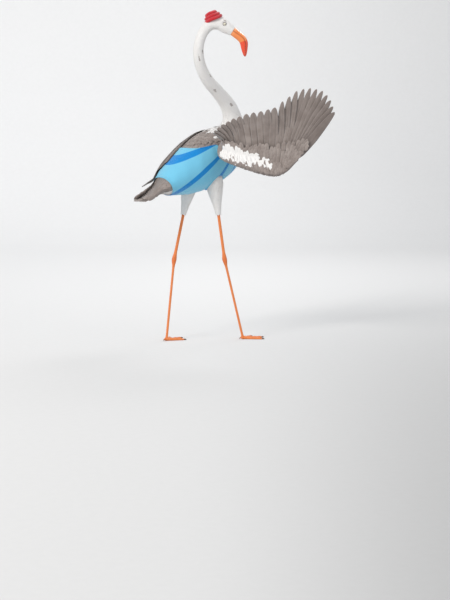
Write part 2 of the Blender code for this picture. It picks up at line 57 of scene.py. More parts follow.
bpy.ops.object.select_all(action="DESELECT")
bpy.ops.object.camera_add(location=towards_camera * CAMERA_DISTANCE + Vector((0, 0, CAMERA_HEIGHT)))
camera = bpy.context.object
sight = Vector((0, 0, PICTURE_MIDDLE)) - camera.location
camera.rotation_euler = sight.to_track_quat("-Z", "Y").to_euler()
camera.data.lens = camera.data.sensor_width * sight.length / PICTURE_HEIGHT
bpy.context.scene.camera = camera
bpy.context.scene.view_settings.view_transform = "Standard"


def lamp(name, side, ahead, height, size, power, colour):
    """A square soft lamp, placed from the bird by the camera's right and front, turned to the trunk."""
    place = camera_right * side + towards_camera * ahead + Vector((0, 0, height))
    bpy.ops.object.light_add(type="AREA", location=place)
    made = bpy.context.object
    made.name = name
    made.data.size = size
    made.data.energy = power
    made.data.color = colour
    made.rotation_euler = (Vector((0, 0, LAMP_AIM)) - place).to_track_quat("-Z", "Y").to_euler()


lamp("key_lamp", -4.0, 4.4, 4.6, 2.6, 350, (1.0, 0.98, 0.95))
lamp("fill_lamp", 4.8, 3.6, 2.6, 3.0, 60, (0.95, 0.97, 1.0))
lamp("rim_lamp", 1.6, -2.6, 3.4, 1.4, 45, (1.0, 1.0, 1.0))
world = bpy.data.worlds.new("studio_air")
world.use_nodes = True
air = world.node_tree.nodes["Background"]
air.inputs["Color"].default_value = (0.945, 0.965, 1.0, 1)
air.inputs["Strength"].default_value = 0.66
bpy.context.scene.world = world

# The paper is painted darker near the camera and to its right, a painted shade that stands in for the lamps'
# falloff: where each grade starts and ends, and its two tones
PAPER_SHADE_GRADE, SIDE_SHADE_DEPTH, SIDE_SHADE_GRADE = (-3.4, 6.2, 0.590, 0.940), (-3.4, 5.6, 0.28, 0.16), (-0.04, 0.20)
PAPER_GRAIN, PAPER_WHITE = (0.985, 1.015), (1.0, 0.998, 0.992)
SWEEP_START, SWEEP_STEP, SWEEP_WALL = 4.4, 0.42, 7.0  # metres behind the bird, up the curve and up the wall

bpy.ops.mesh.primitive_plane_add(size=1)
sweep = bpy.context.object
sweep.name = "paper_sweep"
sweep.scale = (14, 9, 1)
sweep.rotation_euler.z = VIEW_AZIMUTH
bpy.ops.object.transform_apply(location=False, rotation=True, scale=True)
bpy.ops.object.mode_set(mode="EDIT")
bpy.ops.mesh.select_all(action="DESELECT")
edit = bmesh.from_edit_mesh(sweep.data)
far_edge = [edge for edge in edit.edges
            if all(vertex.co.dot(-towards_camera) > SWEEP_START for vertex in edge.verts)]
for edge in far_edge:
    edge.select_set(True)
bmesh.update_edit_mesh(sweep.data)
climbs = [-towards_camera * math.cos(angle) * SWEEP_STEP + Vector((0, 0, math.sin(angle) * SWEEP_STEP))
          for angle in np.radians(np.linspace(7.5, 82.5, 6))]
for climb in (*climbs, Vector((0, 0, SWEEP_WALL))):
    bpy.ops.mesh.extrude_region_move(TRANSFORM_OT_translate={"value": climb})
bpy.ops.object.mode_set(mode="OBJECT")
bpy.ops.object.shade_smooth()


class Reckoned:
    """A number or colour that a material's nodes work out, so that sums on it read as arithmetic."""

    def __init__(self, tree, socket):
        self.tree = tree
        self.socket = socket

    def plugged(self, value, socket):
        """Set a socket to a plain number or colour, or lead a reckoned one into it."""
        if isinstance(value, Reckoned):
            self.tree.links.new(value.socket, socket)
        else:
            socket.default_value = (*value, 1) if isinstance(value, tuple) else value

    def reckon(self, operation, *values, clamp=False):
        node = self.tree.nodes.new("ShaderNodeMath")
        node.operation = operation
        node.use_clamp = clamp
        for value, socket in zip(values, node.inputs):
            self.plugged(value, socket)
        return Reckoned(self.tree, node.outputs[0])

    def __add__(self, other):
        return self.reckon("ADD", self, other)

    def __sub__(self, other):
        return self.reckon("SUBTRACT", self, other)

    def __rsub__(self, other):
        return self.reckon("SUBTRACT", other, self)

    def __mul__(self, other):
        return self.reckon("MULTIPLY", self, other)

    def __truediv__(self, other):
        return self.reckon("DIVIDE", self, other)

    def __pow__(self, other):
        return self.reckon("POWER", self, other)

    def __abs__(self):
        return self.reckon("ABSOLUTE", self)

    def sine(self):
        return self.reckon("SINE", self)

    def eased(self, low, high, out_low=0.0, out_high=1.0):
        """A smooth step from one value to another, as this goes from low to high."""
        node = self.tree.nodes.new("ShaderNodeMapRange")
        node.interpolation_type = "SMOOTHSTEP"
        for name, value in (("Value", self), ("From Min", low), ("From Max", high), ("To Min", out_low),
                            ("To Max", out_high)):
            self.plugged(value, node.inputs[name])
        return Reckoned(self.tree, node.outputs["Result"])

    def blend(self, first, second, kind="MIX"):
        """The first colour where this is 0 and the second where it is 1."""
        node = self.tree.nodes.new("ShaderNodeMix")
        node.data_type = "RGBA"
        node.blend_type = kind
        for value, place in ((self, 0), (first, 6), (second, 7)):
            self.plugged(value, node.inputs[place])
        return Reckoned(self.tree, node.outputs[2])


def finish_of(name, roughness, **constants):
    """A new material with its shader's constant sockets set, and its node tree."""
    made = bpy.data.materials.new(name)
    made.use_nodes = True
    shader = made.node_tree.nodes["Principled BSDF"]
    shader.inputs["Roughness"].default_value = roughness
    for socket, value in constants.items():
        shader.inputs[socket.replace("_", " ")].default_value = value
    return made, made.node_tree


def feed(tree, **sources):
    """Lead reckoned colours and numbers into the sockets of a material's shader."""
    for socket, source in sources.items():
        tree.links.new(source.socket, tree.nodes["Principled BSDF"].inputs[socket.replace("_", " ")])


def speckle(tree, scale, detail=3.0, roughness=0.55):
    """Noise on the piece's own coordinates."""
    place, noise = tree.nodes.new("ShaderNodeTexCoord"), tree.nodes.new("ShaderNodeTexNoise")
    for socket, value in (("Scale", scale), ("Detail", detail), ("Roughness", roughness)):
        noise.inputs[socket].default_value = value
    tree.links.new(place.outputs["Object"], noise.inputs["Vector"])
    return Reckoned(tree, noise.outputs["Fac"])


def lying(tree, direction):
    """How far places on a piece lie along a direction."""
    place, product = tree.nodes.new("ShaderNodeTexCoord"), tree.nodes.new("ShaderNodeVectorMath")
    product.operation = "DOT_PRODUCT"
    product.inputs[1].default_value = direction
    tree.links.new(place.outputs["Object"], product.inputs[0])
    return Reckoned(tree, product.outputs["Value"])


paper, paper_tree = finish_of("studio_paper", 0.9, Specular_IOR_Level=0.15)
behind = lying(paper_tree, -towards_camera)
fanned = lying(paper_tree, camera_right) / (behind + CAMERA_DISTANCE)
# painted shade: the paper's colour is darkened towards the camera and to its right, in place of the lamps'
# falloff
side_shade = fanned.eased(*SIDE_SHADE_GRADE) * behind.eased(*SIDE_SHADE_DEPTH)
paper_shaded_tone = behind.eased(*PAPER_SHADE_GRADE) * (1.0 - side_shade)
paper_shaded_tone = paper_shaded_tone * speckle(paper_tree, 40, 4).eased(0.0, 1.0, *PAPER_GRAIN)
feed(paper_tree, Base_Color=paper_shaded_tone.blend((0.0, 0.0, 0.0), PAPER_WHITE))
sweep.data.materials.append(paper)


# Body line: the run of sections from the tail through the trunk and the neck to the root of the bill,
# the same as the solid model's. Skin, feathers and suit are all laid round it.

BODY_LINE = (
    # x, y, z, yaw, half width, above, below
    (-0.320, 0.000, 0.590, 0, 0.026, 0.0015, 0.0015),
    (-0.300, 0.000, 0.599, 0, 0.050, 0.0028, 0.0028),
    (-0.262, 0.000, 0.617, 0, 0.051, 0.0070, 0.0070),
    (-0.220, 0.000, 0.639, 0, 0.043, 0.0200, 0.0220),
    (-0.175, 0.000, 0.660, 0, 0.065, 0.0440, 0.0520),
    (-0.115, 0.000, 0.690, 0, 0.087, 0.0720, 0.0830),
    (-0.045, 0.000, 0.722, 0, 0.101, 0.0930, 0.1030),
    (0.030, 0.000, 0.760, 0, 0.106, 0.1030, 0.1130),
    (0.095, 0.000, 0.797, 0, 0.097, 0.0970, 0.1100),
    (0.143, 0.000, 0.837, 0, 0.077, 0.0780, 0.0900),
    (0.168, 0.000, 0.879, 0, 0.054, 0.0570, 0.0610),
    (0.171, 0.000, 0.926, 0, 0.039, 0.0410, 0.0410),
    (0.147, 0.000, 0.980, 0, 0.031, 0.0320, 0.0320),
    (0.097, 0.000, 1.032, 0, 0.026, 0.0270, 0.0270),
    (0.042, 0.000, 1.082, 0, 0.0235, 0.0245, 0.0240),
    (0.004, -0.001, 1.142, -4, 0.0215, 0.0225, 0.0220),
    (-0.008, -0.003, 1.206, -10, 0.0200, 0.0210, 0.0205),
    (0.006, -0.007, 1.264, -20, 0.0195, 0.0205, 0.0200),
    (0.036, -0.017, 1.303, -30, 0.0220, 0.0235, 0.0210),
    (0.069, -0.036, 1.315, -37, 0.0250, 0.0280, 0.0270),
    (0.096, -0.056, 1.301, -38, 0.0228, 0.0240, 0.0285),
    (0.118, -0.073, 1.283, -38, 0.0165, 0.0165, 0.0215),
)
TAIL_ROOT, NAPE, BILL_ROOT = 3, 17.8, 21
EYE_STATION, EYE_OUT, EYE_UP = 19.70, 0.0155, 0.0045


def read(table, t):
    """Rows of a table at places between its rows, on a smooth curve through them."""
    rows = np.array(table, float)
    rows = np.vstack([2 * rows[0] - rows[1], rows, 2 * rows[-1] - rows[-2]])
    t = np.asarray(t, float)
    first = np.clip(t.astype(int), 0, len(rows) - 4)
    f = (t - first)[..., None]
    before, a, b, after = (rows[first + k] for k in range(4))
    square = 2 * before - 5 * a + 4 * b - after
    return 0.5 * (2 * a + (b - before) * f + square * f**2 + (3 * a - before - 3 * b + after) * f**3)


def unit(vectors):
    return vectors / np.maximum(np.linalg.norm(vectors, axis=-1, keepdims=True), 1e-12)


def run_lengths(points):
    """Lengths along a line of points, from its first one."""
    return np.concatenate([[0], np.cumsum(np.linalg.norm(np.diff(points, axis=0), axis=1))])


def body_frame(t):
    """Middle, forward, left and up at stations, and the half width and the reach above and below."""
    here = read(BODY_LINE, t)
    ahead, behind = (read(BODY_LINE, np.asarray(t) + step)[..., :3] for step in (0.02, -0.02))
    forward = unit(ahead - behind)
    yaw = np.radians(here[..., 3])
    left = np.stack([-np.sin(yaw), np.cos(yaw), 0 * yaw], -1)
    left = unit(left - forward * (left * forward).sum(-1, keepdims=True))
    return here[..., :3], forward, left, np.cross(forward, left), here[..., 4:]


eye_root, _, eye_left, eye_up, _ = body_frame(EYE_STATION)
eye_boxes = [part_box(f"eye_{side}") for side in ("left", "right")]
EYES = [np.array((low + high) / 2) for low, high in eye_boxes]
STAND = EYES[0] - (eye_root + eye_left * EYE_OUT + eye_up * EYE_UP)  # from the body line to the floor plan


def body(t, angle, grow=0.0, least=(0.0, 0.0)):
    """Points of the coat's outer surface at stations and angles down from the back, grown outwards."""
    middle, _, left, up, reach = body_frame(t)
    angle, grow = np.asarray(angle, float), np.asarray(grow, float)
    width = np.maximum(reach[..., 0], least[0])
    height = np.maximum(np.where(np.cos(angle) > 0, reach[..., 1], reach[..., 2]), least[1])
    across = left * (np.sin(angle) * (width + grow))[..., None]
    return middle + STAND + across + up * (np.cos(angle) * (height + grow))[..., None]


STATIONS = np.linspace(0, BILL_ROOT, 2101)
LINE_LENGTHS = run_lengths(read(BODY_LINE, STATIONS)[:, :3])


def station_at(length):
    return np.interp(length, LINE_LENGTHS, STATIONS)


def length_at(station):
    return np.interp(station, STATIONS, LINE_LENGTHS)


# Skin: the whole hide under the feathers, from the tail root to the face, with the thighs, the bare
# scaled legs, the webbed feet and the arms of both wings. Its parts run into each other and are joined as
# one piece.

SKIN_DEPTH = ((0, 0.0012), (2, 0.0030), (4, 0.0050), (9, 0.0062), (11, 0.0050), (14, 0.0034),
              (17, 0.0024), (18.5, 0.0016), (20, 0.0009), (21, 0.0003))
MAP_SCALE = 1.35  # metres of hide across the unwrap
MANTLE_EDGE, MANTLE_TEETH = 8.25, 0.90  # station of the brown mantle's jagged upper edge, and its depth
SKIN_TAIL = 1.7  # station where the hide ends inside the tail
HEAD_SHARE = 0.58  # share of the hide's rings that lie below the nape
EYE_RADIUS, LID_RADIUS = 0.0105, 0.0066
MERGE = 0.00002  # points of a piece that are nearer than this become one


def skin_depth(t):
    stations, depths = zip(*SKIN_DEPTH)
    return np.interp(t, stations, depths)


def turn_of(u):
    """Angle round a tube, from half a turn one way to half a turn the other, of a share from 0 to 1."""
    return (u - 0.5) * 2 * np.pi


def hump(x, middle, width):
    """1 at a middle value, falling away smoothly to both sides."""
    return np.exp(-(((x - middle) / width) ** 2))


def deselect():
    bpy.ops.object.select_all(action="DESELECT")


def points_of(made):
    flat = np.empty(len(made.data.vertices) * 3)
    made.data.vertices.foreach_get("co", flat)
    return flat.reshape(-1, 3)


def carry(made, **values):
    """Store a number on every vertex of a mesh under each name."""
    for name, value in values.items():
        layer = made.data.attributes.get(name) or made.data.attributes.new(name, "FLOAT", "POINT")
        numbers = np.broadcast_to(np.asarray(value, np.float32), len(made.data.vertices))
        layer.data.foreach_set("value", numbers.copy())


def mapped(made, name, places):
    """Write the places that a mesh's vertices have on a map."""
    corner = np.empty(len(made.data.loops), int)
    made.data.loops.foreach_get("vertex_index", corner)
    layer = made.data.uv_layers.get(name) or made.data.uv_layers.new(name=name)
    layer.data.foreach_set("uv", places[corner].ravel())


def island(left=0.0, width=1.0, bottom=0.0, height=1.0):
    """The oblong of a map that a grid fills."""
    return lambda u, v: np.stack([left + width * u, bottom + height * v], -1)


def wrapped(name, around, along, place, material, close=(True, True), merge=MERGE, values=None, **maps):
    """A piece drawn as a grid round a shape, whose sides and ends are merged where they meet.

    place, values and each map take two arrays from 0 to 1, round and along. They give the points, the
    numbers that the mesh carries and the places on the map. close says which ends come to one point, and
    merge how near each other points have to be to become one.
    """
    deselect()
    bpy.ops.mesh.primitive_grid_add(x_subdivisions=around, y_subdivisions=along, size=1)
    made = bpy.context.object
    made.name = made.data.name = name
    u, v, _ = (points_of(made) + 0.5).T
    points = place(u, v)
    for end, closed in enumerate(close):
        rim = np.abs(v - end) < 1e-5
        if closed:
            points[rim] = points[rim].mean(axis=0)
    made.data.vertices.foreach_set("co", points.ravel())
    maps = maps or {"unwrap": island()}
    made.data.uv_layers[0].name = next(iter(maps))
    for map_name, map_place in maps.items():
        mapped(made, map_name, map_place(u, v))
    if values:
        carry(made, **values(u, v))
    bpy.ops.object.mode_set(mode="EDIT")
    bpy.ops.mesh.select_all(action="SELECT")
    bpy.ops.mesh.remove_doubles(threshold=merge)
    bpy.ops.mesh.normals_make_consistent(inside=False)
    bpy.ops.object.mode_set(mode="OBJECT")
    bpy.ops.object.shade_smooth()
    made.data.materials.append(material)
    return made


def fitted(made, slot, *nodes):
    """Fix a piece to the bird, in the place of the solid nodes that it stands for."""
    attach(made, "root")
    if nodes:
        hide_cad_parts(*nodes)
    return made


def own_value(tree, name):
    """A number that the piece's mesh carries."""
    node = tree.nodes.new("ShaderNodeAttribute")
    node.attribute_name = name
    return Reckoned(tree, node.outputs["Fac"])


def raised(tree, height, strength, distance):
    """Let a height raise the shader's surface."""
    bump = tree.nodes.new("ShaderNodeBump")
    bump.inputs["Strength"].default_value = strength
    bump.inputs["Distance"].default_value = distance
    tree.links.new(height.socket, bump.inputs["Height"])
    feed(tree, Normal=Reckoned(tree, bump.outputs["Normal"]))


def layered(colour, *coats):
    """A colour with others laid over it, each as far as its share says."""
    for share, over in coats:
        colour = share.blend(colour, over)
    return colour


def effect(name, map_name, takes, results):
    """A node group for a shared effect: its tree, the two places on a map and the numbers it takes."""
    tree = bpy.data.node_groups.new(name, "ShaderNodeTree")
    for direction, sockets in (("INPUT", takes), ("OUTPUT", results)):
        for socket in sockets:
            tree.interface.new_socket(socket, in_out=direction, socket_type="NodeSocketFloat")
    given, uv_map, place = (tree.nodes.new(kind) for kind in (
        "NodeGroupInput", "ShaderNodeUVMap", "ShaderNodeSeparateXYZ"))
    uv_map.uv_map = map_name
    tree.links.new(uv_map.outputs["UV"], place.inputs["Vector"])
    sockets = [place.outputs["X"], place.outputs["Y"], *(given.outputs[socket] for socket in takes)]
    return tree, *(Reckoned(tree, socket) for socket in sockets)


def gives(tree, **results):
    """Lead an effect's results out of its group."""
    out = tree.nodes.new("NodeGroupOutput")
    for name, result in results.items():
        tree.links.new(result.socket, out.inputs[name])


def use(tree, shared, **values):
    """Set up a shared effect in a material, and give its results by name."""
    group = tree.nodes.new("ShaderNodeGroup")
    group.node_tree = shared
    for name, value in values.items():
        group.inputs[name].default_value = value
    return {socket.name: Reckoned(tree, socket) for socket in group.outputs}


WHITE, WARM_WHITE, GREY_WHITE = (0.86, 0.855, 0.845), (0.83, 0.80, 0.765), (0.74, 0.73, 0.725)
BROWN, PALE_BROWN, DARK_BROWN = (0.262, 0.216, 0.194), (0.365, 0.312, 0.285), (0.150, 0.122, 0.110)
ORANGE, LIGHT_ORANGE, DEEP_ORANGE = (0.790, 0.215, 0.048), (0.82, 0.250, 0.068), (0.66, 0.135, 0.030)
# painted shade for the grooves between the leg's scales
SCALE_SEAM_SHADE = (0.45, 0.10, 0.03)

# Barbs: a feather's shaft, the slanting barbs on both sides of it, and its worn tip
barbs, vane_across, vane_along, barb_lines, barb_slant = effect(
    "barbs", "vane", ("Lines", "Slant"), ("Height", "Shaft", "Tip", "Edge"))
from_shaft = abs(vane_across - 0.5) * 2.0
waves = ((vane_along - from_shaft * barb_slant) * barb_lines * (2 * math.pi)).sine()
shaft_line = from_shaft.eased(0.03, 0.13, 1.0, 0.0)
gives(barbs, Height=waves * 0.22 + shaft_line * 0.9, Shaft=shaft_line, Tip=vane_along.eased(0.70, 1.0),
      Edge=from_shaft.eased(0.72, 1.0))


def feather_finish(name, lines, slant, depth):
    """Feathers: white where the mesh carries brown = 0 and grey-brown where it carries 1."""
    made, tree = finish_of(name, 0.72, Specular_IOR_Level=0.25, Sheen_Weight=0.25, Sheen_Roughness=0.5)
    barb = use(tree, barbs, Lines=lines, Slant=slant)
    tone, cloud = own_value(tree, "tone"), speckle(tree, 26, 4)
    white = layered(cloud.blend(WHITE, WARM_WHITE), (tone * 0.32, GREY_WHITE),
                    (barb["Shaft"] * 0.18, WARM_WHITE))
    brown = layered(cloud.eased(0.3, 0.7).blend(BROWN, PALE_BROWN), (tone * 0.45, DARK_BROWN),
                    (barb["Tip"] * 0.40, PALE_BROWN), (barb["Edge"] * 0.25, PALE_BROWN),
                    (barb["Shaft"] * 0.38, DARK_BROWN), (own_value(tree, "dark"), DARK_BROWN))
    feed(tree, Base_Color=own_value(tree, "brown").blend(white, brown),
         Roughness=cloud.eased(0.2, 0.8, 0.62, 0.80))
    raised(tree, barb["Height"], 0.55, depth)
    return made


small_feathers = feather_finish("small_feathers", 15, 0.40, 0.00014)
covert_feathers = feather_finish("covert_feathers", 28, 0.34, 0.00020)
flight_feathers = feather_finish("flight_feathers", 80, 0.16, 0.0004)

# Hide: pale under white feathers and grey-brown under brown ones, with the pits that feathers grow from
hide, hide_tree = finish_of("hide", 0.75, Specular_IOR_Level=0.3)
hide_cloud = speckle(hide_tree, 60, 4)
hide_white = hide_cloud.blend((0.80, 0.775, 0.75), (0.72, 0.68, 0.65))
hide_brown = hide_cloud.blend((0.22, 0.18, 0.16), (0.16, 0.13, 0.12))
feed(hide_tree, Base_Color=own_value(hide_tree, "brown").blend(hide_white, hide_brown))
raised(hide_tree, speckle(hide_tree, 700, 2), 0.3, 0.0004)

# Leg skin: orange, with a net of small scales whose grooves are painted darker as painted shade, and deeper
# orange at the joints
leg_skin, leg_tree = finish_of("leg_skin", 0.45, Specular_IOR_Level=0.45)
leg_map, scale_cells = leg_tree.nodes.new("ShaderNodeUVMap"), leg_tree.nodes.new("ShaderNodeTexVoronoi")
leg_map.uv_map = "scales"
scale_cells.feature = "DISTANCE_TO_EDGE"
scale_cells.inputs["Scale"].default_value = 1.5
leg_tree.links.new(leg_map.outputs["UV"], scale_cells.inputs["Vector"])
scale_seam = Reckoned(leg_tree, scale_cells.outputs["Distance"]).eased(0.0, 0.14)
leg_cloud = speckle(leg_tree, 34, 4)
leg_colour = layered(leg_cloud.blend(ORANGE, LIGHT_ORANGE),
                     (own_value(leg_tree, "joint").eased(0.0, 1.0, 0.0, 0.6), DEEP_ORANGE),
                     # painted shade: the grooves between the scales are painted darker
                     (scale_seam.eased(0.0, 1.0, 0.34, 0.0), SCALE_SEAM_SHADE))
feed(leg_tree, Base_Color=leg_colour, Roughness=leg_cloud.eased(0.2, 0.8, 0.36, 0.55))
raised(leg_tree, scale_seam, 0.6, 0.0005)


def body_map(t, angle):
    """Place on the hide's unwrap of a station and an angle, at true scale."""
    reach = body_frame(t)[4]
    girth = (reach[..., 0] + (reach[..., 1] + reach[..., 2]) / 2) / 2
    return np.stack([0.26 + angle * girth / MAP_SCALE, 0.015 + length_at(t) / MAP_SCALE], -1)


def mantle(t, angle):
    """How brown the body is: the mantle down to its jagged edge, the rump and the tail."""
    teeth = np.abs(((np.degrees(angle) / 15 + 0.35 * np.sin(angle * 9)) % 2) - 1)
    edge = MANTLE_EDGE + MANTLE_TEETH * (teeth - 0.5) - 0.8 * (np.degrees(np.abs(angle)) / 80) ** 3
    side = 96 - 6 * teeth * np.clip(t - 4, 0, 1) + 26 * np.clip((5 - t) / 1.5, 0, 1)
    return ((t < edge) & (np.degrees(np.abs(angle)) < side)).astype(float)


def near_eye(points, eye):
    """How far points lie out along an eye's axis from its middle, and how far from that axis."""
    sideways = unit(eye - (eye_root + STAND + eye_up * EYE_UP))
    offset = points - eye
    out = offset @ sideways
    return out, np.linalg.norm(offset - out[..., None] * sideways, axis=-1), sideways


def face_forms(points):
    """The folds of the face: a lid ringing each eye, the hollow in front of it and the brow above it."""
    for eye in EYES:
        out, off, sideways = near_eye(points, eye)
        ball = np.sqrt(np.maximum(EYE_RADIUS**2 - off**2, 0))
        near_side = out > 0
        fold = ball + 0.0006 * np.cos((off - LID_RADIUS) / 0.0022)
        under_lid = off < LID_RADIUS - 0.0004
        rise = np.where(near_side & (off < EYE_RADIUS) & ~under_lid, np.maximum(fold - out, 0), 0)
        sink = np.where(near_side & under_lid, ball - 0.0016 - out, 0)
        crease = np.where(near_side, -0.0005 * hump(off, 0.0112, 0.0012), 0)
        points = points + sideways * (rise + np.minimum(sink, 0) + crease)[..., None]
    return points


def skin_station(v):
    """Station of each ring of the hide. The rings are closer together on the head."""
    tail, nape, face = length_at(SKIN_TAIL), length_at(NAPE), length_at(BILL_ROOT)
    return station_at(np.where(v < HEAD_SHARE, tail + (nape - tail) * v / HEAD_SHARE,
                               nape + (face - nape) * (v - HEAD_SHARE) / (1 - HEAD_SHARE)))


def body_skin(u, v):
    t = skin_station(v)
    return face_forms(body(t, turn_of(u), -skin_depth(t)))


def line_place(points):
    """The station nearest to each point and its angle round the body line there."""
    stations = np.linspace(0, BILL_ROOT, 400)
    middles, _, left, up, _ = body_frame(stations)
    nearest = np.array([np.argmin(((middles + STAND - p) ** 2).sum(-1)) for p in points])
    offset = points - STAND - middles[nearest]
    return stations[nearest], np.arctan2((offset * left[nearest]).sum(-1), (offset * up[nearest]).sum(-1))


skin = wrapped("skin", 96, 300, body_skin, hide, unwrap=lambda u, v: body_map(skin_station(v), turn_of(u)))
carry(skin, brown=mantle(*line_place(points_of(skin))), joint=0)
hide_parts = []


def hide_part(name, *shape, brown=0, joint=0, **drawn):
    """Draw one part of the hide, which says how brown its feathers are and how near it is to a joint."""
    made = wrapped(f"hide_{name}", *shape, **drawn)
    carry(made, brown=brown, joint=joint)
    hide_parts.append(made)
    return made


# Thighs, inside their feathers
HIP_HEIGHT, ANKLE_HEIGHT, FEATHER_END = 0.690, 0.340, 0.530
LEGS = {
    # hip, ankle and foot along the bird, hip and foot across it, and the heading of the toes in degrees
    "left": (-0.010, -0.098, -0.136, 0.045, 0.055, 10),
    "right": (0.032, 0.070, 0.148, -0.049, -0.105, -10),
}
THIGH_RADII = (0.037, 0.037, 0.028, 0.018, 0.0110)
SHANK_RADIUS, ANKLE_RADIUS, TARSUS_RADIUS, FOOT_RADIUS = 0.0062, 0.0098, 0.0050, 0.0078


def leg_points(side):
    """Hip, end of the feathers, ankle and the middle of the foot of one leg, on the floor plan."""
    hip_x, ankle_x, foot_x, hip_y, foot_y, _ = LEGS[side]
    hip = np.array([hip_x, hip_y, HIP_HEIGHT])
    down = (HIP_HEIGHT - ANKLE_HEIGHT) / HIP_HEIGHT
    ankle = np.array([ankle_x, hip_y + (foot_y - hip_y) * down, ANKLE_HEIGHT])
    feather_end = hip + (ankle - hip) * (HIP_HEIGHT - FEATHER_END) / (HIP_HEIGHT - ANKLE_HEIGHT)
    return tuple(p + STAND for p in (hip, feather_end, ankle, np.array([foot_x, foot_y, 0.0])))


def on_line(share, places, points):
    """Points on a line through points at rising places."""
    return np.stack([np.interp(share, places, np.asarray(points)[:, i]) for i in range(3)], -1)


def circled(middle, along, front, angle, radius):
    """Points at angles round a line's middle; angle 0 faces front."""
    ahead = unit(front - along * (along * front).sum(-1, keepdims=True))
    beside = np.cross(along, ahead)
    return middle + radius[..., None] * (ahead * np.cos(angle)[..., None] + beside * np.sin(angle)[..., None])


def round_line(points, radii, u, v, front):
    """Points of a tube whose middle runs through points; angle 0 faces front."""
    steps = run_lengths(points)
    steps /= steps[-1]
    ahead, behind = (on_line(np.clip(v + step, 0, 1), steps, points) for step in (0.004, -0.004))
    middle = on_line(v, steps, points)
    return circled(middle, unit(ahead - behind), front, turn_of(u), np.interp(v, steps, radii))


def thigh_radius(share):
    return np.interp(share, np.linspace(0, 1, len(THIGH_RADII)), THIGH_RADII)


def thigh(side, share, angle, grow):
    """Points of a thigh's feathers, from the hip down."""
    hip, feather_end, _, _ = leg_points(side)
    middle = hip + (feather_end - hip) * np.asarray(share)[..., None]
    return circled(middle, unit(feather_end - hip), np.array([1.0, 0, 0]), angle, thigh_radius(share) + grow)


for side in LEGS:
    hide_part(f"thigh_{side}", 40, 36,
              lambda u, v, side=side: thigh(side, v, turn_of(u), -0.0042 + 0.0022 * v), hide)


# Bare legs: a scaled tube from inside the thigh's feathers over the knobbly ankle to the foot

def softened(points, width):
    """A line of evenly spaced points with its corners rounded."""
    kernel = hump(np.arange(-3 * width, 3 * width + 1), 0, width)
    padded = np.pad(points, ((3 * width, 3 * width), (0, 0)), mode="reflect", reflect_type="odd")
    return np.stack([np.convolve(padded[:, i], kernel / kernel.sum(), "valid") for i in range(3)], -1)


LEG_RINGS, FRONT, UP = 300, np.array([1.0, 0.1, 0]), np.array([0, 0, 1.0])
SCUTE, SCUTE_RISE = 0.0048, 0.00022  # height of one broad scute down the front of the leg, and its relief
ANKLE_FOLD, ANKLE_LENGTH, SOLE_LIFT = 0.0004, 0.026, 0.0065
for side in LEGS:
    hip, feather_end, ankle, sole = leg_points(side)
    corners = (feather_end + (hip - feather_end) * 0.12, ankle, sole)
    corner_lengths = run_lengths(corners)
    leg_length = corner_lengths[-1]
    places = np.linspace(0, leg_length, LEG_RINGS)
    route = softened(on_line(places, corner_lengths, corners), 4)
    route[-1] = sole + UP * SOLE_LIFT
    from_ankle = places - corner_lengths[1]
    girths = np.where(from_ankle < 0, SHANK_RADIUS, TARSUS_RADIUS)
    girths = girths + (ANKLE_RADIUS - girths) * hump(from_ankle, 0, 0.021)
    girths = girths + (FOOT_RADIUS - 0.0006 - girths) * hump(places, leg_length, 0.014)
    girths[-1] *= 0.8

    def leg_tube(u, v, route=route, girths=girths, bends=hump(from_ankle, 0, ANKLE_LENGTH),
                 leg_length=leg_length):
        points, angle = round_line(route, girths, u, v, FRONT), turn_of(u)
        middle = round_line(route, girths * 0, u, v, FRONT)
        bend = np.interp(v, np.linspace(0, 1, LEG_RINGS), bends)
        folds = ANKLE_FOLD * bend * np.sin(v * 620) * (np.cos(angle) < 0.2)
        scutes = SCUTE_RISE * np.abs(np.sin(v * leg_length / SCUTE * np.pi)) * (np.cos(angle) > 0.25)
        narrow = 1 - 0.10 * np.abs(np.sin(angle)) ** 2 * (1 - bend)
        return middle + (points - middle) * (narrow + (folds + scutes) / 0.006)[..., None]

    def leg_scales(u, v, leg_length=leg_length):
        return np.stack([7 * u - 0.85 * np.sin(turn_of(u)), v * leg_length / SCUTE], -1)

    made = hide_part(f"leg_{side}", 26, LEG_RINGS, leg_tube, leg_skin, unwrap=island(0.9, 0.03, 0.02, 0.4),
                     scales=leg_scales)
    carry(made, joint=hump(np.linalg.norm(points_of(made) - ankle, axis=1), 0, 0.024))


# Webbed feet: three padded toes in front with skin stretched between them, and a small hind toe

TOES = {"inner": (34, 0.078), "middle": (0, 0.092), "outer": (-34, 0.082)}
TOE_RADII = (0.0078, 0.0052, 0.0046, 0.0036)
WEB_THICKNESS, WEB_SHARE, WEB_HOLLOW, HIND_TOE, HIND_HEIGHT = 0.0018, 0.93, 0.14, 0.014, 0.0056
TOE_TIP, TOE_PADS, PAD_RISE = 0.93, 3.5, 0.07  # share where the tip rounds off; the pads under a toe


def turned(angle):
    return np.array([math.cos(angle), math.sin(angle), 0.0])


def thickened(made, thickness, offset=-1):
    """Give a sheet its thickness: inwards from its outer face, or with an offset of 0 to both sides."""
    bpy.context.view_layer.objects.active = made
    solid = made.modifiers.new("thickness", "SOLIDIFY")
    solid.thickness = thickness
    solid.offset = offset
    bpy.ops.object.modifier_apply(modifier="thickness")


def scaled_like(made, size):
    """Give a foot piece the map that its small scales follow, seen from above."""
    mapped(made, "scales", points_of(made)[:, :2] / size)


